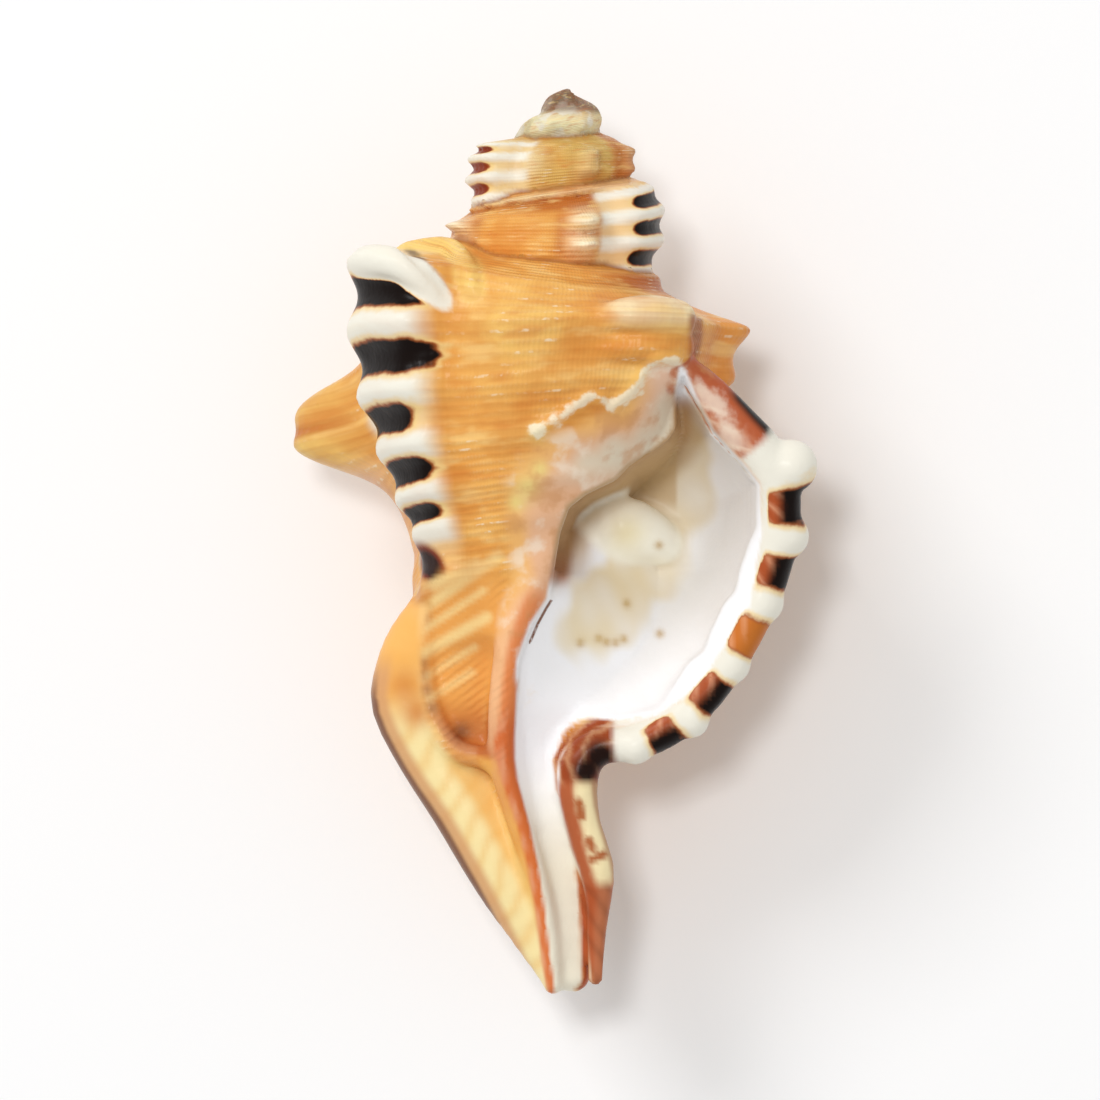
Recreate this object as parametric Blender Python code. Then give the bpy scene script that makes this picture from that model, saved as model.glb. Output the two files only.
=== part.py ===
"""A triton shell, grown in one piece, lying on its back with its mouth up.

The shape is one closed solid. It is worked out as a depth in mm at each point of the shell's own frame,
where X runs to the right, Y towards the apex and Z out of the mouth side, then meshed and laid down.
"""

import math

import bpy
import numpy as np
import openvdb

# Driving dimensions in millimetres and degrees.
GRID_STEP = 0.9
MOST_TRIANGLES = 9200
BACK_WALL = 2.8
MOUTH_DEPTH = 25.0
CANAL_DEPTH = 3.6
CALLUS_RISE = 0.8
CALLUS_WIDTH = 0.8

# How the shell is turned from its own frame so that it rests on its back.
REST_PITCH = math.radians(1.35)
REST_ROLL = math.radians(3.87)
ABOUT_X = np.array([
    [1.0, 0.0, 0.0],
    [0.0, math.cos(REST_PITCH), -math.sin(REST_PITCH)],
    [0.0, math.sin(REST_PITCH), math.cos(REST_PITCH)],
])
ABOUT_Y = np.array([
    [math.cos(REST_ROLL), 0.0, math.sin(REST_ROLL)],
    [0.0, 1.0, 0.0],
    [-math.sin(REST_ROLL), 0.0, math.cos(REST_ROLL)],
])
REST_TURN = ABOUT_Y @ ABOUT_X

LIP_BEARING = 15.0
LEAN = 0.0757
AXIS_X = 1.62
AXIS_Y = 60.1
FADE_TURN = -34.0

# Stations of the growth: the turn in degrees back from the lip, then (height, radius) in mm of nine points.
# The nine are the suture, the seven spiral cords below it and the foot.
STATIONS = (
    (0, (23.5, 21.0), (16.0, 26.0), (9.9, 33.3), (0.5, 33.3),
     (-8.5, 30.6), (-16.9, 27.0), (-24.3, 22.5), (-27.7, 18.0), (-30.0, 11.0)),
    (35, (22.0, 22.0), (17.0, 26.0), (12.5, 31.0), (3.5, 31.0),
     (-5.0, 29.0), (-12.5, 25.5), (-20.0, 20.0), (-24.5, 15.5), (-28.5, 9.5)),
    (80, (24.5, 21.0), (19.0, 25.5), (14.5, 28.0), (6.0, 28.0),
     (-2.0, 27.5), (-9.5, 25.0), (-16.5, 20.0), (-22.0, 15.0), (-27.0, 9.5)),
    (125, (27.5, 19.0), (22.5, 24.5), (17.0, 27.4), (9.0, 27.4),
     (1.5, 26.8), (-5.5, 24.8), (-12.5, 20.5), (-18.0, 15.5), (-24.5, 9.0)),
    (160, (31.0, 17.0), (26.5, 22.5), (18.6, 26.5), (11.5, 25.5),
     (5.0, 22.5), (-1.8, 19.0), (-7.5, 16.5), (-13.0, 13.0), (-20.0, 9.0)),
    (188, (34.5, 15.5), (29.5, 21.5), (20.6, 25.0), (13.2, 23.5),
     (7.0, 18.9), (0.5, 15.4), (-4.5, 14.0), (-10.0, 11.5), (-17.0, 10.0)),
    (220, (41.0, 14.5), (38.6, 25.0), (29.0, 24.0), (19.8, 22.0),
     (12.2, 19.5), (5.5, 17.0), (1.1, 14.5), (-5.8, 13.0), (-13.5, 10.5)),
    (243, (37.9, 13.4), (36.9, 22.0), (29.2, 23.6), (20.2, 22.0),
     (12.9, 19.8), (6.5, 17.3), (1.8, 14.8), (-4.9, 12.5), (-12.7, 9.7)),
    (265, (37.3, 13.2), (35.3, 19.5), (29.3, 23.2), (20.5, 22.0),
     (13.5, 20.0), (7.5, 17.5), (2.5, 15.0), (-4.0, 12.0), (-12.0, 9.0)),
    (300, (36.4, 13.0), (33.9, 18.5), (29.8, 23.0), (21.5, 21.5),
     (14.5, 19.0), (8.5, 16.5), (3.5, 14.0), (-3.0, 11.0), (-11.0, 7.5)),
    (337, (36.0, 13.0), (33.2, 17.5), (29.5, 23.2), (21.5, 21.5),
     (15.0, 18.5), (9.5, 15.5), (4.5, 12.5), (-1.5, 9.5), (-9.0, 6.5)),
    (385, (36.0, 13.2), (32.6, 16.6), (28.3, 23.2), (21.5, 22.0),
     (15.5, 18.5), (10.0, 15.0), (5.5, 12.0), (0.0, 9.0), (-7.0, 5.5)),
    (440, (38.5, 12.5), (35.5, 17.5), (30.5, 20.5), (24.5, 19.5),
     (19.0, 17.0), (14.0, 14.0), (9.5, 11.0), (4.5, 8.0), (-2.0, 4.5)),
    (500, (42.0, 11.5), (40.0, 14.5), (36.5, 16.2), (31.0, 15.5),
     (26.0, 13.5), (21.0, 11.0), (16.5, 9.0), (12.0, 6.5), (5.0, 3.5)),
    (560, (44.4, 11.7), (43.7, 13.2), (42.4, 13.8), (39.9, 14.1),
     (35.5, 12.2), (29.0, 10.0), (24.5, 8.0), (20.0, 6.0), (13.0, 3.0)),
    (660, (47.0, 9.5), (45.8, 11.2), (42.6, 12.5), (39.4, 12.6),
     (35.6, 11.4), (31.5, 9.5), (27.5, 7.6), (23.5, 5.6), (17.5, 2.8)),
    (740, (48.9, 8.8), (48.4, 10.2), (45.0, 11.7), (40.5, 12.2),
     (36.1, 11.0), (32.3, 9.2), (28.5, 7.2), (25.0, 5.2), (19.0, 2.5)),
    (830, (51.2, 7.6), (50.3, 9.0), (48.8, 10.0), (46.0, 10.0),
     (43.0, 9.4), (40.0, 8.2), (37.0, 6.5), (33.0, 4.7), (27.0, 2.2)),
    (920, (53.8, 6.6), (53.3, 7.8), (51.4, 9.2), (48.3, 9.5),
     (45.2, 9.0), (42.5, 7.8), (40.5, 6.0), (37.0, 4.2), (31.0, 2.0)),
    (1010, (54.0, 5.6), (53.4, 7.2), (52.0, 8.5), (49.5, 8.8),
     (47.3, 8.3), (45.0, 7.2), (42.0, 5.5), (39.0, 3.8), (34.0, 1.8)),
    (1100, (54.8, 5.2), (54.3, 6.9), (52.8, 8.4), (50.0, 8.6),
     (48.0, 8.0), (46.0, 6.8), (43.5, 5.0), (41.0, 3.5), (37.0, 1.5)),
    (1190, (56.2, 4.2), (55.8, 5.3), (55.0, 6.1), (53.3, 6.4),
     (51.8, 5.8), (50.2, 5.0), (48.5, 4.0), (46.5, 2.8), (43.0, 1.2)),
    (1370, (58.4, 2.9), (57.9, 4.5), (57.0, 5.5), (55.5, 6.0),
     (54.3, 5.4), (53.0, 4.5), (51.5, 3.0), (50.0, 2.0), (47.0, 0.9)),
    (1500, (59.9, 2.0), (59.6, 2.9), (59.0, 3.7), (57.8, 4.4),
     (56.8, 4.6), (55.8, 4.1), (54.6, 2.4), (53.4, 1.5), (51.0, 0.6)),
    (1740, (60.9, 0.8), (60.7, 1.4), (60.2, 2.0), (59.2, 2.3),
     (58.4, 2.5), (57.5, 2.2), (56.5, 1.5), (55.5, 0.9), (54.0, 0.4)),
)

# Varices: turn, rise in mm, half width in degrees, first and last cord they cross.
VARICES = (
    (228, 5.4, 18.0, 0.6, 8.0),
    (462, 2.8, 15.0, 0.4, 8.0),
    (712, 2.9, 26.0, 0.2, 8.0),
    (938, 4.3, 20.0, 0.1, 8.0),
    (1160, 1.0, 16.0, 0.4, 8.0),
)
# Knobs: turn, cord, rise in mm, half width in degrees, half height in cords.
KNOBS = (
    (30, 2.0, 2.0, 15, 0.8), (66, 2.3, 5.6, 14, 0.7), (126, 2.2, 3.8, 14, 0.7), (98, 4.6, 2.6, 15, 0.8),
    (180, 2.40, 9.2, 12, 0.58), (183, 3.22, 8.7, 12, 0.50),
    (275, 2.0, 0.8, 14, 0.7), (326, 2.1, 2.0, 14, 0.7), (328, 3.0, 1.4, 12, 0.6),
    (376, 2.0, 3.8, 10, 0.5), (376, 3.0, 3.4, 10, 0.5), (415, 2.2, 2.0, 11, 0.8),
    (576, 2.0, 2.3, 11, 0.36), (576, 3.0, 2.3, 11, 0.36),
    (661, 2.0, 3.4, 9, 0.38), (661, 3.0, 3.2, 9, 0.38), (770, 2.4, 1.6, 10, 0.8), (820, 2.4, 1.6, 10, 0.8),
    (875, 2.4, 1.5, 10, 0.8), (980, 2.4, 0.8, 10, 0.8), (1028, 2.2, 2.0, 9, 0.5), (1028, 3.0, 1.9, 9, 0.5),
    (1082, 2.0, 1.7, 9, 0.5), (1082, 3.0, 1.6, 9, 0.5), (1130, 2.4, 1.0, 9, 0.8),
    (1215, 3.0, 0.5, 8, 0.7), (1250, 3.0, 0.5, 8, 0.7), (1285, 3.0, 0.5, 8, 0.7),
    (1320, 3.0, 0.5, 8, 0.7), (1355, 3.0, 0.5, 8, 0.7), (1390, 3.0, 0.4, 8, 0.7),
)

TURN_STEP = 1.5
HEIGHT_STEP = 0.25
TURNS = np.arange(-36.0, 1740.0, TURN_STEP)
HEIGHTS = np.arange(-46.0, 64.0, HEIGHT_STEP)


def smooth_max(a, b, blend):
    share = np.clip(0.5 + 0.5 * (a - b) / blend, 0.0, 1.0)
    return b + (a - b) * share + blend * share * (1.0 - share)


def smooth_min(a, b, blend):
    return -smooth_max(-a, -b, blend)


def rise(low, high, value):
    share = np.clip((value - low) / (high - low), 0.0, 1.0)
    return share * share * (3.0 - 2.0 * share)


def softened(values, reach, axis):
    """Values averaged along one axis under a bell of this many samples each side."""
    reach = int(reach)
    bell = np.exp(-np.linspace(-2.0, 2.0, 2 * reach + 1) ** 2)
    bell /= bell.sum()
    pad = [(0, 0)] * values.ndim
    pad[axis] = (reach, reach)
    wide = np.pad(values, pad, mode="edge")
    total = np.zeros_like(values)
    for i, weight in enumerate(bell):
        total += weight * np.take(wide, np.arange(i, i + values.shape[axis]), axis=axis)
    return total


def outline_tables():
    """Radius and cord number over (turn, height)."""
    turns = np.array([row[0] for row in STATIONS], float)
    rails = np.array([row[1:] for row in STATIONS], float)
    reached = np.clip(TURNS, 0.0, None)
    heights = np.stack([np.interp(reached, turns, rails[:, i, 0]) for i in range(rails.shape[1])], axis=1)
    radii = np.stack([np.interp(reached, turns, rails[:, i, 1]) for i in range(rails.shape[1])], axis=1)
    heights = softened(heights, 8, 0)
    radii = softened(radii, 8, 0)
    radius = np.empty((len(TURNS), len(HEIGHTS)))
    cord = np.empty_like(radius)
    numbers = np.arange(rails.shape[1], dtype=float)[::-1]
    for i in range(len(TURNS)):
        up, out = heights[i, ::-1], radii[i, ::-1]
        radius[i] = np.interp(HEIGHTS, up, out)
        cord[i] = np.interp(HEIGHTS, up, numbers)
        top = heights[i, 0]
        radius[i] -= 2.2 * np.clip(HEIGHTS - top, 0.0, None)
        cord[i] -= np.clip(HEIGHTS - top, 0.0, None) * 0.4
        foot = heights[i, -1]
        radius[i] -= 1.4 * np.clip(foot - HEIGHTS, 0.0, None)
        cord[i] += np.clip(foot - HEIGHTS, 0.0, None) * 0.15
    return softened(radius, 3, 1), cord


def ornament(turn, cord):
    """How far the knobs, varices and cords stand out of the plain outline, in mm."""
    out = np.zeros_like(cord)
    size = np.interp(turn, (0, 300, 600, 1000, 1700), (1.0, 0.8, 0.5, 0.38, 0.1))
    ridge = 0.5 + 0.5 * np.cos(2 * np.pi * cord)
    inside = rise(0.15, 0.8, cord) * (1.0 - rise(7.6, 8.6, cord))
    out += 0.34 * size * inside * ridge ** 2
    lap = (turn > 285.0) & (turn < 400.0) | (turn > 560.0) & (turn < 760.0)
    edged = softened(lap.astype(float), 12, 0)
    suture_cord = np.exp(-((cord - 0.16) / 0.2) ** 2)
    ramp = np.exp(-((cord - 0.85) / 0.36) ** 2)
    out += np.interp(turn, (400, 560), (0.9, 1.7)) * size * edged * (suture_cord - 1.5 * ramp)
    for centre, height, width, first, last in VARICES:
        away = (turn - centre) / width
        shape = np.exp(-np.abs(away) ** 6) - 0.12 * np.exp(-((away - 1.55) / 0.4) ** 2)
        down = np.interp(cord, (0.0, 1.0, 2.0, 3.0, 5.0, 7.0, 8.0), (0.9, 1.0, 0.90, 0.85, 0.60, 0.45, 0.2))
        reach = rise(first - 0.5, first + 0.25, cord) * (1.0 - rise(last - 0.6, last + 0.4, cord))
        out += height * shape * down * reach * (0.76 + 0.30 * ridge)
    for centre, where, height, width, tall in KNOBS:
        away = (turn - centre) / width
        along = (cord - where) / tall
        out += height * np.exp(-np.abs(away) ** 2.5 - along ** 2)
    return out


def shell_table():
    radius, cord = outline_tables()
    turn = np.broadcast_to(TURNS[:, None], radius.shape)
    radius = radius + ornament(turn, cord)
    # The newest whorl ends at the lip.
    start = np.interp(HEIGHTS, (-30.0, 8.0, 13.0, 18.0, 24.0), (0.0, -3.0, -6.0, -11.0, -16.0))
    radius -= np.clip(start[None, :] - TURNS[:, None], 0.0, None) * 2.0
    slope_up = np.gradient(radius, HEIGHT_STEP, axis=1)
    slope_round = np.gradient(radius, math.radians(TURN_STEP), axis=0) / np.maximum(radius, 2.0)
    steep = np.sqrt(1.0 + np.clip(slope_up, -6, 6) ** 2 + np.clip(slope_round, -6, 6) ** 2)
    return radius, steep, cord


TABLE, STEEP, CORD = shell_table()


def look_up(table, turn, height):
    """The table's value between its samples."""
    i = np.clip((turn - TURNS[0]) / TURN_STEP, 0.0, len(TURNS) - 1.001)
    j = np.clip((height - HEIGHTS[0]) / HEIGHT_STEP, 0.0, len(HEIGHTS) - 1.001)
    i0, j0 = i.astype(np.int32), j.astype(np.int32)
    i, j = i - i0, j - j0
    low = table[i0, j0] * (1 - j) + table[i0, j0 + 1] * j
    high = table[i0 + 1, j0] * (1 - j) + table[i0 + 1, j0 + 1] * j
    return low * (1 - i) + high * i


def whorls(x, y, z):
    """Depth inside the coiled whorls, in mm."""
    off = x - (AXIS_X + LEAN * (y - AXIS_Y))
    radius = np.hypot(off, z)
    bearing = np.degrees(np.arctan2(z, off))
    first = np.mod(LIP_BEARING - bearing - FADE_TURN, 360.0) + FADE_TURN
    best = np.full(x.shape, -60.0)
    for lap in range(5):
        turn = first + 360.0 * lap
        depth = (look_up(TABLE, turn, y) - radius) / look_up(STEEP, turn, y)
        best = smooth_max(best, depth, 0.35)
    return best


def curved(points, parts=3):
    """The same points with more between them, on a smooth curve through all of them."""
    spots = [np.array(p, float) for p in points]
    spots = [2 * spots[0] - spots[1]] + spots + [2 * spots[-1] - spots[-2]]
    found = []
    for a, b, c, d in zip(spots[:-3], spots[1:-2], spots[2:-1], spots[3:]):
        for step in range(parts):
            t = step / parts
            found.append(tuple(0.5 * (2 * b + (c - a) * t + (2 * a - 5 * b + 4 * c - d) * t ** 2
                                      + (3 * b - a - 3 * c + d) * t ** 3)))
    return tuple(found) + (tuple(points[-1]),)


def chain(points, x, y, z):
    """Depth inside a run of tapering rods through points (x, y, z, radius), exact only near them."""
    best = np.full(x.shape, -1e3)
    spots = np.array(points, float)
    reach = spots[:, 3].max() + 4.0
    low, high = spots[:, :3].min(0) - reach, spots[:, :3].max(0) + reach
    near = (x > low[0]) & (x < high[0]) & (y > low[1]) & (y < high[1]) & (z > low[2]) & (z < high[2])
    px, py, pz = x[near], y[near], z[near]
    found = np.full(px.shape, -1e3)
    for a, b in zip(points[:-1], points[1:]):
        ax, ay, az, ar = a
        dx, dy, dz = b[0] - ax, b[1] - ay, b[2] - az
        length = dx * dx + dy * dy + dz * dz
        t = np.clip(((px - ax) * dx + (py - ay) * dy + (pz - az) * dz) / length, 0.0, 1.0)
        gap = np.sqrt((px - ax - t * dx) ** 2 + (py - ay - t * dy) ** 2 + (pz - az - t * dz) ** 2)
        found = np.maximum(found, ar + t * (b[3] - ar) - gap)
    best[near] = found
    return best


def plan_distance(line, x, y):
    """Distance in mm, seen from the mouth side, to a run of straight pieces."""
    best = np.full(x.shape, 1e3)
    for (ax, ay), (bx, by) in zip(line[:-1], line[1:]):
        dx, dy = bx - ax, by - ay
        t = np.clip(((x - ax) * dx + (y - ay) * dy) / (dx * dx + dy * dy), 0.0, 1.0)
        best = np.minimum(best, np.hypot(x - ax - t * dx, y - ay - t * dy))
    return best


def plan_inside(ring, x, y):
    """True inside a closed ring seen from the mouth side."""
    inside = np.zeros(x.shape, bool)
    for (ax, ay), (bx, by) in zip(ring, ring[1:] + ring[:1]):
        if ay == by:
            continue
        crosses = (ay > y) != (by > y)
        inside ^= crosses & (x < (bx - ax) * (y - ay) / (by - ay) + ax)
    return inside


# The mouth's edge seen from the front, in three runs that close a ring.
LIP_EDGE = (
    (16.9, 22.7), (18.5, 19.2), (20.9, 14.4), (25.2, 9.7), (27.0, 7.3), (27.3, 0.7), (26.6, -3.2),
    (25.4, -10.1), (22.8, -13.4), (20.9, -16.2), (18.0, -20.2), (13.5, -23.2), (8.8, -24.6), (4.7, -24.6),
    (1.8, -26.3), (0.1, -29.7),
)
CANAL_EDGE = (
    (0.1, -29.7), (0.3, -33.8), (1.4, -37.1), (3.1, -42.7), (3.9, -47.7), (4.2, -55.4), (4.5, -60.1),
    (4.2, -63.7), (0.4, -63.7), (0.3, -60.1), (0.0, -52.7), (-0.8, -46.4), (-2.4, -40.2), (-4.3, -34.0),
    (-5.3, -29.3), (-5.0, -21.6),
)
COLUMELLA_EDGE = (
    (-5.0, -21.6), (-4.7, -16.2), (-3.0, -11.5), (-0.7, -8.1),
)
PARIETAL_EDGE = (
    (-0.7, -8.1), (0.1, -2.7), (0.7, 0.9), (1.9, 4.3), (4.2, 6.1), (8.2, 8.0), (10.1, 10.0), (13.1, 11.7),
    (15.3, 13.5), (16.3, 15.0), (16.3, 18.9), (16.9, 22.7),
)

# The outer lip's thick rim, from the top of the mouth to the canal's tip: x, y, z and radius in mm.
LIP_RIM = (
    (17.4, 23.0, 14.0, 1.8), (20.9, 19.2, 13.2, 2.6), (24.7, 14.9, 12.0, 3.0), (28.5, 10.5, 11.0, 3.1),
    (30.1, 5.4, 10.0, 2.9), (29.8, 0.0, 9.0, 2.8), (28.5, -5.4, 8.0, 2.7), (26.6, -10.1, 8.0, 2.6),
    (23.9, -15.5, 7.0, 2.4), (20.4, -20.5, 6.5, 2.5), (15.8, -24.8, 6.0, 2.4), (10.7, -27.3, 5.5, 2.3),
    (6.1, -27.7, 5.0, 2.5), (3.5, -30.0, 5.0, 2.8), (3.0, -33.8, 5.0, 2.7), (3.9, -38.5, 4.7, 2.3),
    (5.5, -43.9, 4.2, 2.4), (5.9, -47.9, 3.8, 1.8), (5.7, -52.7, 3.3, 1.2), (5.5, -59.1, 3.0, 0.9),
)
# The white beads on the rim: x, y, z and radius in mm.
LIP_BEADS = (
    (31.6, 9.9, 10.5, 3.6), (31.2, 0.5, 9.0, 2.9), (28.2, -8.5, 8.0, 2.5), (24.0, -16.9, 7.0, 2.2),
    (18.4, -24.3, 6.4, 2.3), (10.8, -27.9, 5.8, 2.3),
)
# The shell's neck behind the canal, and its left side: x, y, z and radius in mm.
NECK = (
    (-2.7, -8.1, -2.0, 9.5), (-2.3, -18.9, -2.5, 8.2), (-1.4, -29.7, -2.5, 6.6), (0.3, -40.5, -2.0, 5.1),
    (1.8, -50.0, -1.2, 3.9), (2.4, -58.7, 0.0, 2.3),
)
NECK_SIDE = (
    (-9.9, -6.8, -2.0, 9.0), (-11.5, -14.2, -3.0, 8.2), (-11.7, -23.6, -3.5, 7.2),
    (-9.2, -33.1, -3.0, 6.0), (-5.5, -43.2, -2.4, 4.4), (-1.4, -54.0, -1.0, 2.6),
)
# The inner lip's ridge beside the mouth and canal: x, y, z and radius in mm.
LEFT_RIDGE = (
    (-0.9, 0.0, 10.0, 1.2), (-3.4, -6.8, 9.8, 2.0), (-5.8, -13.5, 8.8, 2.0), (-7.0, -21.6, 7.8, 1.9),
    (-7.2, -29.3, 6.6, 1.7), (-5.8, -35.1, 5.6, 1.6), (-3.9, -40.8, 4.8, 1.5), (-2.0, -47.2, 4.2, 1.2),
    (-0.9, -53.3, 3.6, 1.0), (-0.3, -60.1, 3.0, 0.8),
)
# The wall under that ridge, between the canal and the hollow on its left: x, y, z and radius in mm.
INNER_WALL = (
    (-2.6, -8.6, 6.6, 1.8), (-5.0, -14.2, 5.6, 2.1), (-6.5, -20.2, 4.6, 2.2), (-6.6, -26.3, 4.0, 2.2),
    (-5.8, -32.4, 3.4, 2.0), (-4.2, -38.5, 2.8, 1.6),
)
# The fold down the left of the neck, and the rim round the hollow above it: x, y, z and radius in mm.
FOLD = (
    (-16.6, -8.6, 2.0, 2.6), (-19.0, -13.5, 1.0, 3.6), (-20.1, -17.8, 0.0, 4.2), (-20.2, -22.3, -0.5, 4.5),
    (-16.9, -29.0, -0.5, 4.4), (-12.3, -35.8, -0.5, 4.6), (-8.8, -41.9, -0.5, 4.5),
    (-5.9, -47.2, -0.5, 4.1), (-3.0, -53.3, 0.0, 2.8), (-0.3, -60.1, 1.0, 1.0),
)
FOLD_RIM = (
    (-16.6, -7.6, 5.0, 1.0), (-18.0, -14.9, 4.0, 1.4), (-17.4, -20.2, 3.8, 1.4), (-15.9, -25.2, 3.8, 1.4),
    (-13.1, -28.4, 4.2, 1.4), (-9.3, -29.4, 5.2, 1.4),
)
# Two ridges of the ledge above the mouth: x, y, z and radius in mm.
LEDGE = (
    (5.0, 29.2, 19.8, 1.6), (9.0, 30.0, 21.6, 2.2), (12.8, 30.1, 21.2, 2.5), (16.1, 29.4, 18.6, 2.7),
)
LEDGE_LOW = (
    (6.1, 25.7, 19.6, 1.5), (10.4, 25.9, 20.5, 1.9), (13.9, 26.1, 19.6, 2.2), (16.3, 25.8, 17.2, 2.3),
)
# The left varix's top cord, and the groove behind it: x, y, z and radius in mm.
VARIX_CORD = (
    (-20.4, 37.0, -6.0, 1.2), (-23.1, 37.4, 0.0, 1.8), (-24.8, 37.5, 6.0, 2.0), (-25.1, 37.5, 12.0, 2.0),
    (-23.4, 37.5, 15.9, 2.0), (-21.2, 37.0, 17.9, 1.9), (-19.0, 35.6, 18.6, 1.7), (-16.9, 33.6, 18.2, 1.5),
    (-15.0, 31.3, 17.4, 1.2),
)
VARIX_GROOVE = (
    (-19.8, 39.2, 18.0, 1.0), (-17.7, 37.1, 19.9, 1.0), (-15.8, 35.0, 19.7, 0.9), (-14.3, 32.9, 19.3, 0.6),
)
# The shoulder's ridge from the varix's top, turning down onto the body: x, y, z and radius in mm.
SHOULDER = (
    (-19.6, 38.6, 10.0, 1.5), (-16.9, 39.0, 10.2, 1.6), (-14.4, 39.0, 10.2, 1.6), (-12.8, 37.8, 12.6, 1.5),
    (-11.7, 35.8, 17.0, 1.3), (-10.9, 32.9, 18.4, 1.0),
)
# The hollow under the mouth's upper left edge, and the swelling inside the mouth: x, y, z and radius.
UNDERCUT = (
    (11.5, 9.5, 4.0, 3.0), (7.7, 6.5, 2.5, 3.6), (3.9, 3.8, 1.5, 3.8), (2.0, -0.7, 0.0, 3.4),
)
LUMP = (
    (3.4, -0.8, -9.2, 2.2), (6.1, 0.8, -8.4, 3.2), (9.3, 1.8, -7.6, 4.0), (12.3, 0.9, -9.0, 3.3),
    (13.9, -0.3, -11.0, 2.3),
)
# Two raised lines of the glaze above the mouth, seen from the front: x and y in mm.
CALLUS_LINES = (
    (
        (-2.6, 14.6), (0.9, 16.5), (4.5, 19.2), (6.3, 18.8),
    ),
    (
        (7.7, 17.8), (10.5, 20.0), (11.7, 22.5), (13.9, 24.0), (16.3, 24.0),
    ),
)


# The same rods on smooth curves.
LIP_RIM_RUN = curved(LIP_RIM, 2)
LEFT_RIDGE_RUN = curved(LEFT_RIDGE)
INNER_WALL_RUN = curved(INNER_WALL)
NECK_RUN = curved(NECK)
NECK_SIDE_RUN = curved(NECK_SIDE)
FOLD_RUN = curved(FOLD)
FOLD_RIM_RUN = curved(FOLD_RIM)
LEDGE_RUN = curved(LEDGE)
LEDGE_LOW_RUN = curved(LEDGE_LOW)
VARIX_CORD_RUN = curved(VARIX_CORD)
VARIX_GROOVE_RUN = curved(VARIX_GROOVE)
SHOULDER_RUN = curved(SHOULDER)
UNDERCUT_RUN = curved(UNDERCUT)
LUMP_RUN = curved(LUMP)


def body(x, y, z):
    """Depth inside the solid before it is hollowed, in mm."""
    depth = whorls(x, y, z)
    depth = smooth_max(depth, chain(VARIX_CORD_RUN, x, y, z), 1.0)
    depth = smooth_max(depth, chain(SHOULDER_RUN, x, y, z), 1.0)
    depth = smooth_min(depth, -chain(VARIX_GROOVE_RUN, x, y, z), 0.8)
    depth = smooth_max(depth, chain(LEDGE_RUN, x, y, z), 1.3)
    depth = smooth_max(depth, chain(LEDGE_LOW_RUN, x, y, z), 1.3)
    depth = smooth_max(depth, chain(NECK_RUN, x, y, z), 2.5)
    depth = smooth_max(depth, chain(NECK_SIDE_RUN, x, y, z), 4.0)
    depth = smooth_max(depth, chain(FOLD_RUN, x, y, z), 1.5)
    depth = smooth_max(depth, chain(FOLD_RIM_RUN, x, y, z), 1.8)
    depth = smooth_max(depth, chain(LEFT_RIDGE_RUN, x, y, z), 2.4)
    depth = smooth_max(depth, chain(INNER_WALL_RUN, x, y, z), 1.2)
    depth = smooth_max(depth, chain(LIP_RIM_RUN, x, y, z), 2.2)
    for bead in LIP_BEADS:
        away = np.sqrt((x - bead[0]) ** 2 + (y - bead[1]) ** 2 + (z - bead[2]) ** 2)
        depth = smooth_max(depth, bead[3] - away, 0.8)
    front = (z > 8.0) & (y > 12.0) & (y < 26.0) & (depth > -4.0)
    lift = np.zeros(x.shape)
    for line in CALLUS_LINES:
        beside = plan_distance(line, x[front], y[front])
        lift[front] = np.maximum(lift[front], CALLUS_RISE * np.exp(-(beside / CALLUS_WIDTH) ** 2))
    return depth + lift


def hollow(x, y, z):
    """Depth inside the mouth's hollow and the canal's groove, in mm."""
    near = (x > -7.5) & (x < 30.0) & (z > -28.0)
    px, py, pz = x[near], y[near], z[near]
    ring = LIP_EDGE[:-1] + CANAL_EDGE[:-1] + COLUMELLA_EDGE[:-1] + PARIETAL_EDGE[:-1]
    lip = plan_distance(LIP_EDGE, px, py)
    canal = plan_distance(CANAL_EDGE, px, py)
    columella = plan_distance(COLUMELLA_EDGE, px, py)
    parietal = plan_distance(PARIETAL_EDGE, px, py)
    edge = np.minimum(np.minimum(lip, canal), np.minimum(columella, parietal))
    inside = np.where(plan_inside(ring, px, py), edge, -edge)
    rim = np.interp(py, (-60, -35, -28, -10, 10, 24), (3.0, 5.0, 5.5, 8.0, 10.5, 15.0))
    canal_part = 1.0 - rise(-33.0, -20.0, py)
    bowl = np.sqrt(np.clip(1.0 - (1.0 - np.clip(lip / 13.0, 0.0, 1.0)) ** 2, 0.0, 1.0))
    slope = np.clip(columella / 15.0, 0.0, 1.0)
    cliff = np.clip(parietal / 3.0, 0.0, 1.0)
    main = MOUTH_DEPTH * np.minimum(np.minimum(bowl, 0.10 + 0.90 * slope), 0.50 + 0.50 * cliff)
    main *= np.interp(py, (-30.0, -22.0, -14.0, -4.0, 12.0, 22.0), (0.2, 0.36, 0.62, 0.95, 1.0, 0.5))
    along_canal = np.interp(py, (-60.0, -45.0, -33.0), (0.55, 0.78, 1.0))
    groove = CANAL_DEPTH * along_canal * np.clip(edge / 1.4, 0.0, 1.0) ** 0.6
    floor = rim + 1.2 - (canal_part * groove + (1.0 - canal_part) * main)
    cut = np.full(x.shape, -1e3)
    cut[near] = smooth_min(inside, (pz - floor) * 0.6, 1.0)
    return smooth_max(cut, chain(UNDERCUT_RUN, x, y, z), 2.0)


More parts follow.
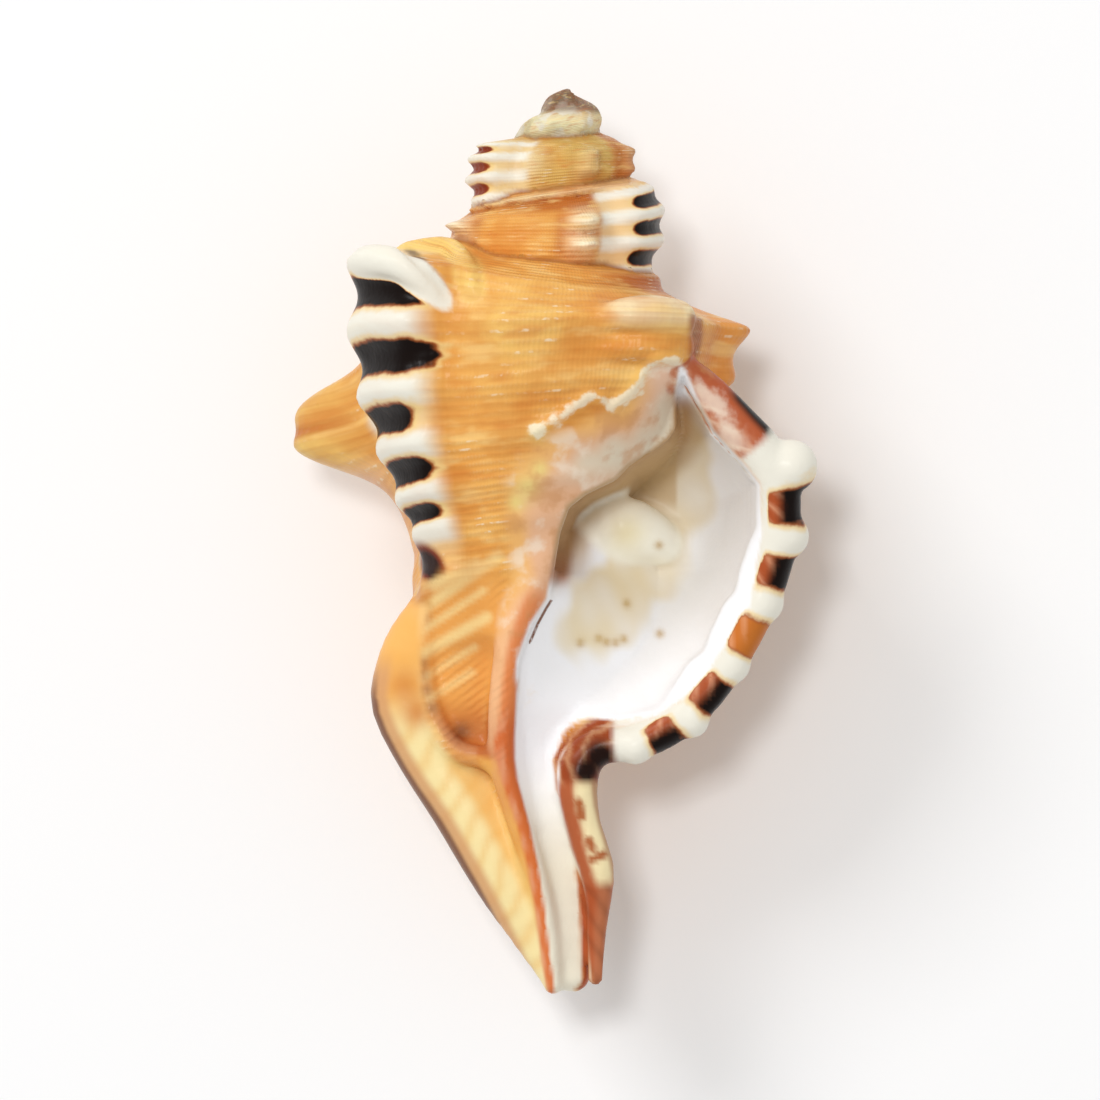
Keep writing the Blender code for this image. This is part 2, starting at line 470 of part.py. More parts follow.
def field(x, y, z):
    """Depth inside the shell in mm: above zero in it, below zero outside."""
    solid = body(x, y, z)
    cut = hollow(x, y, z)
    near = np.flatnonzero(cut > -3.0)
    wall = body(x[near], y[near], np.minimum(z[near], 1.0)) - BACK_WALL
    cut[near] = smooth_min(cut[near], wall, 1.5)
    result = smooth_min(solid, -cut, 0.8)
    return smooth_max(result, chain(LUMP_RUN, x, y, z), 4.0)


def sampled(step, low=(-38.0, -63.0, -32.0), high=(38.0, 63.0, 27.0)):
    """The field on a grid, worked out finely only near the surface."""
    ratio = 4
    counts = [int(math.ceil((b - a) / (step * ratio))) * ratio + 1 for a, b in zip(low, high)]
    axes = [a + step * np.arange(n) for a, n in zip(low, counts)]
    coarse = [axis[::ratio] for axis in axes]
    cx, cy, cz = (part.ravel() for part in np.meshgrid(*coarse, indexing="ij"))
    rough = field(cx, cy, cz).reshape([len(axis) for axis in coarse])
    grid = rough.repeat(ratio, 0).repeat(ratio, 1).repeat(ratio, 2)
    grid = grid[: counts[0], : counts[1], : counts[2]]
    grid = np.clip(grid, -3.0, 3.0)
    close = np.abs(rough) < 1.9 * step * ratio + 0.6
    sign = rough > 0
    for axis in range(3):
        change = np.diff(sign, axis=axis)
        pad = [(0, 0)] * 3
        pad[axis] = (0, 1)
        close |= np.pad(change, pad)
        pad[axis] = (1, 0)
        close |= np.pad(change, pad)
    block = close.copy()
    for axis in range(3):
        moved = np.zeros_like(block)
        index = [slice(None)] * 3
        other = [slice(None)] * 3
        index[axis], other[axis] = slice(0, -1), slice(1, None)
        moved[tuple(index)] = block[tuple(other)]
        block = block | moved
    fine = block.repeat(ratio, 0).repeat(ratio, 1).repeat(ratio, 2)[: counts[0], : counts[1], : counts[2]]
    i, j, k = np.nonzero(fine)
    for part in np.array_split(np.arange(len(i)), max(1, len(i) // 400000)):
        a, b, c = i[part], j[part], k[part]
        grid[a, b, c] = field(axes[0][a], axes[1][b], axes[2][c])
    return axes, grid


def surface(axes, grid):
    """The closed surface where the depth is zero: its points in mm and its faces."""
    step = axes[0][1] - axes[0][0]
    volume = openvdb.FloatGrid(3.0)
    volume.copyFromArray((-grid).astype(np.float32))
    points, triangles, quads = volume.convertToPolygons(0.0, 0.0)
    points = np.asarray(points, float) * step + np.array([axis[0] for axis in axes])
    faces = [tuple(int(i) for i in face) for face in triangles]
    faces += [tuple(int(i) for i in face) for face in quads]
    return points, faces


def largest_piece(points, faces):
    """Only the points and faces of the largest connected surface."""
    label = np.arange(len(points))
    corners = np.array([(face + face[:1])[:4] if len(face) == 3 else face for face in faces])
    while True:
        low = label[corners].min(axis=1)
        before = label.copy()
        for i in range(4):
            np.minimum.at(label, corners[:, i], low)
        label = label[label]
        if (label == before).all():
            break
    names, counts = np.unique(label, return_counts=True)
    keep = label == names[counts.argmax()]
    number = np.cumsum(keep) - 1
    kept = [tuple(int(number[i]) for i in face) for face in faces if keep[face[0]]]
    return points[keep], kept


def volume_of(points, faces):
    total = 0.0
    for face in faces:
        for i in range(1, len(face) - 1):
            a, b, c = points[face[0]], points[face[i]], points[face[i + 1]]
            total += float(np.dot(a, np.cross(b, c)))
    return total / 6.0


def laid_down(points):
    """The points turned so that the back meets the ground, centred over the origin, in metres."""
    turned = points @ REST_TURN.T
    low, high = turned.min(axis=0), turned.max(axis=0)
    turned -= np.array([(low[0] + high[0]) / 2, (low[1] + high[1]) / 2, low[2]])
    return turned * 0.001


def with_fewer_faces(points, faces):
    """The same surface in fewer triangles, which keep the lumps and ridges."""
    mesh = bpy.data.meshes.new("fine")
    mesh.from_pydata(points.tolist(), [], faces)
    mesh.validate()
    fine = bpy.data.objects.new("fine", mesh)
    bpy.context.scene.collection.objects.link(fine)
    fewer = fine.modifiers.new("fewer", "DECIMATE")
    fewer.ratio = min(1.0, MOST_TRIANGLES / sum(len(face) - 2 for face in faces))
    fewer.use_collapse_triangulate = True
    result = bpy.data.meshes.new_from_object(fine.evaluated_get(bpy.context.evaluated_depsgraph_get()))
    bpy.data.objects.remove(fine)
    return np.array([v.co[:] for v in result.vertices]), [tuple(face.vertices) for face in result.polygons]


def build():
    for old in list(bpy.data.objects):
        bpy.data.objects.remove(old)
    points, faces = largest_piece(*surface(*sampled(GRID_STEP)))
    if volume_of(points, faces) < 0:
        faces = [face[::-1] for face in faces]
    points, faces = with_fewer_faces(points, faces)
    mesh = bpy.data.meshes.new("shell")
    mesh.from_pydata(laid_down(points).tolist(), [], faces)
    shell = bpy.data.objects.new("shell", mesh)
    bpy.context.scene.collection.objects.link(shell)
    material = bpy.data.materials.new("glazed_shell")
    material.use_nodes = True
    principled = material.node_tree.nodes["Principled BSDF"]
    principled.inputs["Base Color"].default_value = (0.72, 0.42, 0.17, 1.0)
    principled.inputs["Roughness"].default_value = 0.3
    principled.inputs["Metallic"].default_value = 0.0
    mesh.materials.append(material)


build()
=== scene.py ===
import math

import bpy
import numpy as np
import openvdb
from mathutils import Matrix, Vector


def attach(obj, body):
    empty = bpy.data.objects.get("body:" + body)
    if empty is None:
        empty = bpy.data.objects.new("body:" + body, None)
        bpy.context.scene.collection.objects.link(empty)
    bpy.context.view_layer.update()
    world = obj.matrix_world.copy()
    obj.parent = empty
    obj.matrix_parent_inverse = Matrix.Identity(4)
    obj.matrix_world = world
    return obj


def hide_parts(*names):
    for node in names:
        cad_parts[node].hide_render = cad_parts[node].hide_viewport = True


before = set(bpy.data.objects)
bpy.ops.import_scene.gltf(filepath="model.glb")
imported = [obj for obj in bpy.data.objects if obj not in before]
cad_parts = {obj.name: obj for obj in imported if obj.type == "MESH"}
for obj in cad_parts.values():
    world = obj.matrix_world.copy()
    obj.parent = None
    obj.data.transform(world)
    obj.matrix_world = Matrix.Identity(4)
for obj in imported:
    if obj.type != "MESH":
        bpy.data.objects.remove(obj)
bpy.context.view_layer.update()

MM = 0.001

# Driving dimensions in millimetres and degrees.
GRID_STEP = 0.54
BACK_WALL = 2.8
MOUTH_DEPTH = 25
CANAL_DEPTH = 3.6
CALLUS_RISE = 0.8
CALLUS_WIDTH = 0.8

# How the shell is turned from its own frame so that it rests on its back.
REST_PITCH = math.radians(1.35)
REST_ROLL = math.radians(3.87)
ABOUT_X = np.array([
    [1, 0, 0],
    [0, math.cos(REST_PITCH), -math.sin(REST_PITCH)],
    [0, math.sin(REST_PITCH), math.cos(REST_PITCH)],
])
ABOUT_Y = np.array([
    [math.cos(REST_ROLL), 0, math.sin(REST_ROLL)],
    [0, 1, 0],
    [-math.sin(REST_ROLL), 0, math.cos(REST_ROLL)],
])
REST_TURN = ABOUT_Y @ ABOUT_X

LIP_BEARING = 15
LEAN = 0.0757
AXIS_X = 1.62
AXIS_Y = 60.1
FADE_TURN = -34
LAPS = 5

# Stations of the growth: the turn in degrees back from the lip, then heights and radii in mm of nine points.
# The nine are the suture, the seven spiral cords below it and the foot.
STATIONS = (
    (0, (23.5, 16, 9.9, 0.5, -8.5, -16.9, -24.3, -27.7, -30), (21, 26, 33.3, 33.3, 30.6, 27, 22.5, 18, 11)),
    (35, (22, 17, 12.5, 3.5, -5, -12.5, -20, -24.5, -28.5), (22, 26, 31, 31, 29, 25.5, 20, 15.5, 9.5)),
    (80, (24.5, 19, 14.5, 6, -2, -9.5, -16.5, -22, -27), (21, 25.5, 28, 28, 27.5, 25, 20, 15, 9.5)),
    (125, (27.5, 22.5, 17, 9, 1.5, -5.5, -12.5, -18, -24.5),
     (19, 24.5, 27.4, 27.4, 26.8, 24.8, 20.5, 15.5, 9)),
    (160, (31, 26.5, 18.6, 11.5, 5, -1.8, -7.5, -13, -20), (17, 22.5, 26.5, 25.5, 22.5, 19, 16.5, 13, 9)),
    (188, (34.5, 29.5, 20.6, 13.2, 7, 0.5, -4.5, -10, -17), (15.5, 21.5, 25, 23.5, 18.9, 15.4, 14, 11.5, 10)),
    (220, (41, 38.6, 29, 19.8, 12.2, 5.5, 1.1, -5.8, -13.5), (14.5, 25, 24, 22, 19.5, 17, 14.5, 13, 10.5)),
    (243, (37.9, 36.9, 29.2, 20.2, 12.9, 6.5, 1.8, -4.9, -12.7),
     (13.4, 22, 23.6, 22, 19.8, 17.3, 14.8, 12.5, 9.7)),
    (265, (37.3, 35.3, 29.3, 20.5, 13.5, 7.5, 2.5, -4, -12), (13.2, 19.5, 23.2, 22, 20, 17.5, 15, 12, 9)),
    (300, (36.4, 33.9, 29.8, 21.5, 14.5, 8.5, 3.5, -3, -11), (13, 18.5, 23, 21.5, 19, 16.5, 14, 11, 7.5)),
    (337, (36, 33.2, 29.5, 21.5, 15, 9.5, 4.5, -1.5, -9), (13, 17.5, 23.2, 21.5, 18.5, 15.5, 12.5, 9.5, 6.5)),
    (385, (36, 32.6, 28.3, 21.5, 15.5, 10, 5.5, 0, -7), (13.2, 16.6, 23.2, 22, 18.5, 15, 12, 9, 5.5)),
    (440, (38.5, 35.5, 30.5, 24.5, 19, 14, 9.5, 4.5, -2), (12.5, 17.5, 20.5, 19.5, 17, 14, 11, 8, 4.5)),
    (500, (42, 40, 36.5, 31, 26, 21, 16.5, 12, 5), (11.5, 14.5, 16.2, 15.5, 13.5, 11, 9, 6.5, 3.5)),
    (560, (44.4, 43.7, 42.4, 39.9, 35.5, 29, 24.5, 20, 13), (11.7, 13.2, 13.8, 14.1, 12.2, 10, 8, 6, 3)),
    (660, (47, 45.8, 42.6, 39.4, 35.6, 31.5, 27.5, 23.5, 17.5),
     (9.5, 11.2, 12.5, 12.6, 11.4, 9.5, 7.6, 5.6, 2.8)),
    (740, (48.9, 48.4, 45, 40.5, 36.1, 32.3, 28.5, 25, 19), (8.8, 10.2, 11.7, 12.2, 11, 9.2, 7.2, 5.2, 2.5)),
    (830, (51.2, 50.3, 48.8, 46, 43, 40, 37, 33, 27), (7.6, 9, 10, 10, 9.4, 8.2, 6.5, 4.7, 2.2)),
    (920, (53.8, 53.3, 51.4, 48.3, 45.2, 42.5, 40.5, 37, 31), (6.6, 7.8, 9.2, 9.5, 9, 7.8, 6, 4.2, 2)),
    (1010, (54, 53.4, 52, 49.5, 47.3, 45, 42, 39, 34), (5.6, 7.2, 8.5, 8.8, 8.3, 7.2, 5.5, 3.8, 1.8)),
    (1100, (54.8, 54.3, 52.8, 50, 48, 46, 43.5, 41, 37), (5.2, 6.9, 8.4, 8.6, 8, 6.8, 5, 3.5, 1.5)),
    (1190, (56.2, 55.8, 55, 53.3, 51.8, 50.2, 48.5, 46.5, 43), (4.2, 5.3, 6.1, 6.4, 5.8, 5, 4, 2.8, 1.2)),
    (1370, (58.4, 57.9, 57, 55.5, 54.3, 53, 51.5, 50, 47), (2.9, 4.5, 5.5, 6, 5.4, 4.5, 3, 2, 0.9)),
    (1500, (59.9, 59.6, 59, 57.8, 56.8, 55.8, 54.6, 53.4, 51), (2, 2.9, 3.7, 4.4, 4.6, 4.1, 2.4, 1.5, 0.6)),
    (1740, (60.9, 60.7, 60.2, 59.2, 58.4, 57.5, 56.5, 55.5, 54), (0.8, 1.4, 2, 2.3, 2.5, 2.2, 1.5, 0.9, 0.4)),
)

# Varices: turn, rise in mm, half width in degrees, first and last cord they cross.
VARICES = (
    (228, 5.4, 18, 0.6, 8),
    (462, 2.8, 15, 0.4, 8),
    (712, 2.9, 26, 0.2, 8),
    (938, 4.3, 20, 0.1, 8),
    (1160, 1, 16, 0.4, 8),
)
# Knobs: turn, cord, rise in mm, half width in degrees, half height in cords.
KNOBS = (
    (30, 2, 2, 15, 0.8), (66, 2.3, 5.6, 14, 0.7), (126, 2.2, 3.8, 14, 0.7), (98, 4.6, 2.6, 15, 0.8),
    (180, 2.40, 9.2, 12, 0.58), (183, 3.22, 8.7, 12, 0.50),
    (275, 2, 0.8, 14, 0.7), (326, 2.1, 2, 14, 0.7), (328, 3, 1.4, 12, 0.6),
    (376, 2, 3.8, 10, 0.5), (376, 3, 3.4, 10, 0.5), (415, 2.2, 2, 11, 0.8),
    (576, 2, 2.3, 11, 0.36), (576, 3, 2.3, 11, 0.36),
    (661, 2, 3.4, 9, 0.38), (661, 3, 3.2, 9, 0.38), (770, 2.4, 1.6, 10, 0.8), (820, 2.4, 1.6, 10, 0.8),
    (875, 2.4, 1.5, 10, 0.8), (980, 2.4, 0.8, 10, 0.8), (1028, 2.2, 2, 9, 0.5), (1028, 3, 1.9, 9, 0.5),
    (1082, 2, 1.7, 9, 0.5), (1082, 3, 1.6, 9, 0.5), (1130, 2.4, 1, 9, 0.8),
    *((turn, 3, 0.5, 8, 0.7) for turn in range(1215, 1356, 35)), (1390, 3, 0.4, 8, 0.7),
)

TURN_STEP = 1.5
HEIGHT_STEP = 0.25
TURNS = np.arange(-36, 1740, TURN_STEP)
HEIGHTS = np.arange(-46, 64, HEIGHT_STEP)


def smooth_max(a, b, blend):
    share = np.clip(0.5 + 0.5 * (a - b) / blend, 0, 1)
    return b + (a - b) * share + blend * share * (1 - share)


def smooth_min(a, b, blend):
    return -smooth_max(-a, -b, blend)


def rise(low, high, value):
    share = np.clip((value - low) / (high - low), 0, 1)
    return share * share * (3 - 2 * share)


def fall(low, high, value):
    return 1 - rise(low, high, value)


def bell(value, centre, width):
    return np.exp(-((value - centre) / width) ** 2)


def window(a, b, c, d, value):
    """Rises from a to b and falls from c to d."""
    return rise(a, b, value) * fall(c, d, value)


def softened(values, reach, axis):
    """Values averaged along one axis under a bell of this many samples each side."""
    bell = np.exp(-np.linspace(-2, 2, 2 * reach + 1) ** 2)
    bell /= bell.sum()
    pad = [(0, 0)] * values.ndim
    pad[axis] = (reach, reach)
    wide = np.pad(values, pad, mode="edge")
    total = np.zeros_like(values)
    for i, weight in enumerate(bell):
        total += weight * np.take(wide, np.arange(i, i + values.shape[axis]), axis=axis)
    return total


def outline_tables():
    """Radius and cord number over (turn, height)."""
    turns = np.array([row[0] for row in STATIONS], float)
    rails = np.array([row[1:] for row in STATIONS], float)
    reached = np.clip(TURNS, 0, None)
    heights, radii = (
        softened(np.stack([np.interp(reached, turns, rail) for rail in rails[:, part].T], axis=1), 8, 0)
        for part in (0, 1)
    )
    radius = np.empty((len(TURNS), len(HEIGHTS)))
    cord = np.empty_like(radius)
    numbers = np.arange(rails.shape[2], dtype=float)[::-1]
    for i in range(len(TURNS)):
        up, out = heights[i, ::-1], radii[i, ::-1]
        above = np.clip(HEIGHTS - heights[i, 0], 0, None)
        below = np.clip(heights[i, -1] - HEIGHTS, 0, None)
        radius[i] = np.interp(HEIGHTS, up, out) - 2.2 * above - 1.4 * below
        cord[i] = np.interp(HEIGHTS, up, numbers) - 0.4 * above + 0.15 * below
    return softened(radius, 3, 1), cord


def ornament(turn, cord):
    """How far the knobs, varices and cords stand out of the plain outline, in mm."""
    out = np.zeros_like(cord)
    size = np.interp(turn, (0, 300, 600, 1000, 1700), (1, 0.8, 0.5, 0.38, 0.1))
    ridge = 0.5 + 0.5 * np.cos(2 * np.pi * cord)
    inside = window(0.15, 0.8, 7.6, 8.6, cord)
    out += 0.34 * size * inside * ridge ** 2
    lap = (turn > 285) & (turn < 400) | (turn > 560) & (turn < 760)
    edged = softened(lap.astype(float), 12, 0)
    suture_cord = bell(cord, 0.16, 0.2)
    ramp = bell(cord, 0.85, 0.36)
    out += np.interp(turn, (400, 560), (0.9, 1.7)) * size * edged * (suture_cord - 1.5 * ramp)
    for centre, height, width, first, last in VARICES:
        away = (turn - centre) / width
        shape = np.exp(-np.abs(away) ** 6) - 0.12 * bell(away, 1.55, 0.4)
        down = np.interp(cord, (0, 1, 2, 3, 5, 7, 8), (0.9, 1, 0.90, 0.85, 0.60, 0.45, 0.2))
        reach = window(first - 0.5, first + 0.25, last - 0.6, last + 0.4, cord)
        out += height * shape * down * reach * (0.76 + 0.30 * ridge)
    for centre, where, height, width, tall in KNOBS:
        away = (turn - centre) / width
        along = (cord - where) / tall
        out += height * np.exp(-np.abs(away) ** 2.5 - along ** 2)
    return out


def shell_table():
    radius, cord = outline_tables()
    turn = np.broadcast_to(TURNS[:, None], radius.shape)
    radius = radius + ornament(turn, cord)
    # The newest whorl ends at the lip.
    start = np.interp(HEIGHTS, (-30, 8, 13, 18, 24), (0, -3, -6, -11, -16))
    radius -= np.clip(start[None, :] - TURNS[:, None], 0, None) * 2
    slope_up = np.gradient(radius, HEIGHT_STEP, axis=1)
    slope_round = np.gradient(radius, math.radians(TURN_STEP), axis=0) / np.maximum(radius, 2)
    steep = np.sqrt(1 + np.clip(slope_up, -6, 6) ** 2 + np.clip(slope_round, -6, 6) ** 2)
    return radius, steep, cord


TABLE, STEEP, CORD = shell_table()


def look_up(table, turn, height):
    """The table's value between its samples."""
    i = np.clip((turn - TURNS[0]) / TURN_STEP, 0, len(TURNS) - 1.001)
    j = np.clip((height - HEIGHTS[0]) / HEIGHT_STEP, 0, len(HEIGHTS) - 1.001)
    i0, j0 = i.astype(np.int32), j.astype(np.int32)
    i, j = i - i0, j - j0
    low = table[i0, j0] * (1 - j) + table[i0, j0 + 1] * j
    high = table[i0 + 1, j0] * (1 - j) + table[i0 + 1, j0 + 1] * j
    return low * (1 - i) + high * i


def polar(x, y, z):
    """Distance from the coil's axis, and the turn of the newest whorl on that bearing."""
    off = x - (AXIS_X + LEAN * (y - AXIS_Y))
    turn = np.mod(LIP_BEARING - np.degrees(np.arctan2(z, off)) - FADE_TURN, 360) + FADE_TURN
    return np.hypot(off, z), turn


def whorls(x, y, z):
    """Depth inside the coiled whorls, in mm."""
    radius, first = polar(x, y, z)
    best = np.full(x.shape, -60.0)
    for lap in range(LAPS):
        turn = first + 360 * lap
        depth = (look_up(TABLE, turn, y) - radius) / look_up(STEEP, turn, y)
        best = smooth_max(best, depth, 0.35)
    return best


def curved(points, parts=3):
    """The same points with more between them, on a smooth curve through all of them."""
    spots = [np.array(p, float) for p in points]
    spots = [2 * spots[0] - spots[1]] + spots + [2 * spots[-1] - spots[-2]]
    found = []
    for a, b, c, d in zip(spots[:-3], spots[1:-2], spots[2:-1], spots[3:]):
        for step in range(parts):
            t = step / parts
            found.append(tuple(0.5 * (2 * b + (c - a) * t + (2 * a - 5 * b + 4 * c - d) * t ** 2
                                      + (3 * b - a - 3 * c + d) * t ** 3)))
    return tuple(found) + (tuple(points[-1]),)


def chain(points, x, y, z):
    """Depth inside a run of tapering rods through points (x, y, z, radius), exact only near them."""
    best = np.full(x.shape, -1e3)
    spots = np.array(points, float)
    reach = spots[:, 3].max() + 4
    low, high = spots[:, :3].min(0) - reach, spots[:, :3].max(0) + reach
    near = (x > low[0]) & (x < high[0]) & (y > low[1]) & (y < high[1]) & (z > low[2]) & (z < high[2])
    px, py, pz = x[near], y[near], z[near]
    found = np.full(px.shape, -1e3)
    for a, b in zip(points[:-1], points[1:]):
        ax, ay, az, ar = a
        dx, dy, dz = b[0] - ax, b[1] - ay, b[2] - az
        length = dx * dx + dy * dy + dz * dz
        t = np.clip(((px - ax) * dx + (py - ay) * dy + (pz - az) * dz) / length, 0, 1)
        gap = np.sqrt((px - ax - t * dx) ** 2 + (py - ay - t * dy) ** 2 + (pz - az - t * dz) ** 2)
        found = np.maximum(found, ar + t * (b[3] - ar) - gap)
    best[near] = found
    return best


def plan_distance(line, x, y):
    """Distance in mm, seen from the mouth side, to a run of straight pieces."""
    best = np.full(x.shape, 1e3)
    for (ax, ay), (bx, by) in zip(line[:-1], line[1:]):
        dx, dy = bx - ax, by - ay
        t = np.clip(((x - ax) * dx + (y - ay) * dy) / (dx * dx + dy * dy), 0, 1)
        best = np.minimum(best, np.hypot(x - ax - t * dx, y - ay - t * dy))
    return best


def plan_inside(ring, x, y):
    """True inside a closed ring seen from the mouth side."""
    inside = np.zeros(x.shape, bool)
    for (ax, ay), (bx, by) in zip(ring, ring[1:] + ring[:1]):
        if ay == by:
            continue
        crosses = (ay > y) != (by > y)
        inside ^= crosses & (x < (bx - ax) * (y - ay) / (by - ay) + ax)
    return inside


# The mouth's edge seen from the front, in three runs that close a ring.
LIP_EDGE = (
    (16.9, 22.7), (18.5, 19.2), (20.9, 14.4), (25.2, 9.7), (27, 7.3), (27.3, 0.7), (26.6, -3.2),
    (25.4, -10.1), (22.8, -13.4), (20.9, -16.2), (18, -20.2), (13.5, -23.2), (8.8, -24.6), (4.7, -24.6),
    (1.8, -26.3), (0.1, -29.7),
)
CANAL_EDGE = (
    (0.1, -29.7), (0.3, -33.8), (1.4, -37.1), (3.1, -42.7), (3.9, -47.7), (4.2, -55.4), (4.5, -60.1),
    (4.2, -63.7), (0.4, -63.7), (0.3, -60.1), (0, -52.7), (-0.8, -46.4), (-2.4, -40.2), (-4.3, -34),
    (-5.3, -29.3), (-5, -21.6),
)
COLUMELLA_EDGE = (
    (-5, -21.6), (-4.7, -16.2), (-3, -11.5), (-0.7, -8.1),
)
PARIETAL_EDGE = (
    (-0.7, -8.1), (0.1, -2.7), (0.7, 0.9), (1.9, 4.3), (4.2, 6.1), (8.2, 8), (10.1, 10), (13.1, 11.7),
    (15.3, 13.5), (16.3, 15), (16.3, 18.9), (16.9, 22.7),
)

# Rods on smooth curves. Every point of them is x, y, z and radius in mm.
# The outer lip's thick rim, from the top of the mouth to the canal's tip.
LIP_RIM = curved((
    (17.4, 23, 14, 1.8), (20.9, 19.2, 13.2, 2.6), (24.7, 14.9, 12, 3), (28.5, 10.5, 11, 3.1),
    (30.1, 5.4, 10, 2.9), (29.8, 0, 9, 2.8), (28.5, -5.4, 8, 2.7), (26.6, -10.1, 8, 2.6),
    (23.9, -15.5, 7, 2.4), (20.4, -20.5, 6.5, 2.5), (15.8, -24.8, 6, 2.4), (10.7, -27.3, 5.5, 2.3),
    (6.1, -27.7, 5, 2.5), (3.5, -30, 5, 2.8), (3, -33.8, 5, 2.7), (3.9, -38.5, 4.7, 2.3),
    (5.5, -43.9, 4.2, 2.4), (5.9, -47.9, 3.8, 1.8), (5.7, -52.7, 3.3, 1.2), (5.5, -59.1, 3, 0.9),
), 2)
# The white beads on the rim: x, y, z and radius in mm.
LIP_BEADS = (
    (31.6, 9.9, 10.5, 3.6), (31.2, 0.5, 9, 2.9), (28.2, -8.5, 8, 2.5), (24, -16.9, 7, 2.2),
    (18.4, -24.3, 6.4, 2.3), (10.8, -27.9, 5.8, 2.3),
)
# The shell's neck behind the canal, and its left side.
NECK = curved((
    (-2.7, -8.1, -2, 9.5), (-2.3, -18.9, -2.5, 8.2), (-1.4, -29.7, -2.5, 6.6), (0.3, -40.5, -2, 5.1),
    (1.8, -50, -1.2, 3.9), (2.4, -58.7, 0, 2.3),
))
NECK_SIDE = curved((
    (-9.9, -6.8, -2, 9), (-11.5, -14.2, -3, 8.2), (-11.7, -23.6, -3.5, 7.2),
    (-9.2, -33.1, -3, 6), (-5.5, -43.2, -2.4, 4.4), (-1.4, -54, -1, 2.6),
))
# The inner lip's ridge beside the mouth and canal.
LEFT_RIDGE = curved((
    (-0.9, 0, 10, 1.2), (-3.4, -6.8, 9.8, 2), (-5.8, -13.5, 8.8, 2), (-7, -21.6, 7.8, 1.9),
    (-7.2, -29.3, 6.6, 1.7), (-5.8, -35.1, 5.6, 1.6), (-3.9, -40.8, 4.8, 1.5), (-2, -47.2, 4.2, 1.2),
    (-0.9, -53.3, 3.6, 1), (-0.3, -60.1, 3, 0.8),
))
# The wall under that ridge, between the canal and the hollow on its left.
INNER_WALL = curved((
    (-2.6, -8.6, 6.6, 1.8), (-5, -14.2, 5.6, 2.1), (-6.5, -20.2, 4.6, 2.2), (-6.6, -26.3, 4, 2.2),
    (-5.8, -32.4, 3.4, 2), (-4.2, -38.5, 2.8, 1.6),
))
# The fold down the left of the neck, and the rim round the hollow above it.
FOLD = curved((
    (-16.6, -8.6, 2, 2.6), (-19, -13.5, 1, 3.6), (-20.1, -17.8, 0, 4.2), (-20.2, -22.3, -0.5, 4.5),
    (-16.9, -29, -0.5, 4.4), (-12.3, -35.8, -0.5, 4.6), (-8.8, -41.9, -0.5, 4.5),
    (-5.9, -47.2, -0.5, 4.1), (-3, -53.3, 0, 2.8), (-0.3, -60.1, 1, 1),
))
FOLD_RIM = curved((
    (-16.6, -7.6, 5, 1), (-18, -14.9, 4, 1.4), (-17.4, -20.2, 3.8, 1.4), (-15.9, -25.2, 3.8, 1.4),
    (-13.1, -28.4, 4.2, 1.4), (-9.3, -29.4, 5.2, 1.4),
))
# Two ridges of the ledge above the mouth.
LEDGE = curved((
    (5, 29.2, 19.8, 1.6), (9, 30, 21.6, 2.2), (12.8, 30.1, 21.2, 2.5), (16.1, 29.4, 18.6, 2.7),
))
LEDGE_LOW = curved((
    (6.1, 25.7, 19.6, 1.5), (10.4, 25.9, 20.5, 1.9), (13.9, 26.1, 19.6, 2.2), (16.3, 25.8, 17.2, 2.3),
))
# The left varix's top cord, and the groove behind it.
VARIX_CORD = curved((
    (-20.4, 37, -6, 1.2), (-23.1, 37.4, 0, 1.8), (-24.8, 37.5, 6, 2), (-25.1, 37.5, 12, 2),
    (-23.4, 37.5, 15.9, 2), (-21.2, 37, 17.9, 1.9), (-19, 35.6, 18.6, 1.7), (-16.9, 33.6, 18.2, 1.5),
    (-15, 31.3, 17.4, 1.2),
))
VARIX_GROOVE = curved((
    (-19.8, 39.2, 18, 1), (-17.7, 37.1, 19.9, 1), (-15.8, 35, 19.7, 0.9), (-14.3, 32.9, 19.3, 0.6),
))
# The shoulder's ridge from the varix's top, turning down onto the body.
SHOULDER = curved((
    (-19.6, 38.6, 10, 1.5), (-16.9, 39, 10.2, 1.6), (-14.4, 39, 10.2, 1.6), (-12.8, 37.8, 12.6, 1.5),
    (-11.7, 35.8, 17, 1.3), (-10.9, 32.9, 18.4, 1),
))
# The hollow under the mouth's upper left edge, and the swelling inside the mouth.
UNDERCUT = curved((
    (11.5, 9.5, 4, 3), (7.7, 6.5, 2.5, 3.6), (3.9, 3.8, 1.5, 3.8), (2, -0.7, 0, 3.4),
))
LUMP = curved((
    (3.4, -0.8, -9.2, 2.2), (6.1, 0.8, -8.4, 3.2), (9.3, 1.8, -7.6, 4), (12.3, 0.9, -9, 3.3),
    (13.9, -0.3, -11, 2.3),
))
# Two raised lines of the glaze above the mouth, seen from the front: x and y in mm.
CALLUS_LINES = (
    ((-2.6, 14.6), (0.9, 16.5), (4.5, 19.2), (6.3, 18.8)),
    ((7.7, 17.8), (10.5, 20), (11.7, 22.5), (13.9, 24), (16.3, 24)),
)


# Rods joined to the whorls, with the width of the blend in mm.
JOINED = (
    (LEDGE, 1.3), (LEDGE_LOW, 1.3), (NECK, 2.5), (NECK_SIDE, 4), (FOLD, 1.5), (FOLD_RIM, 1.8),
    (LEFT_RIDGE, 2.4), (INNER_WALL, 1.2), (LIP_RIM, 2.2),
)


def off_bead(bead, x, y, z):
    """Distance outside a bead, in mm."""
    return np.sqrt((x - bead[0]) ** 2 + (y - bead[1]) ** 2 + (z - bead[2]) ** 2) - bead[3]


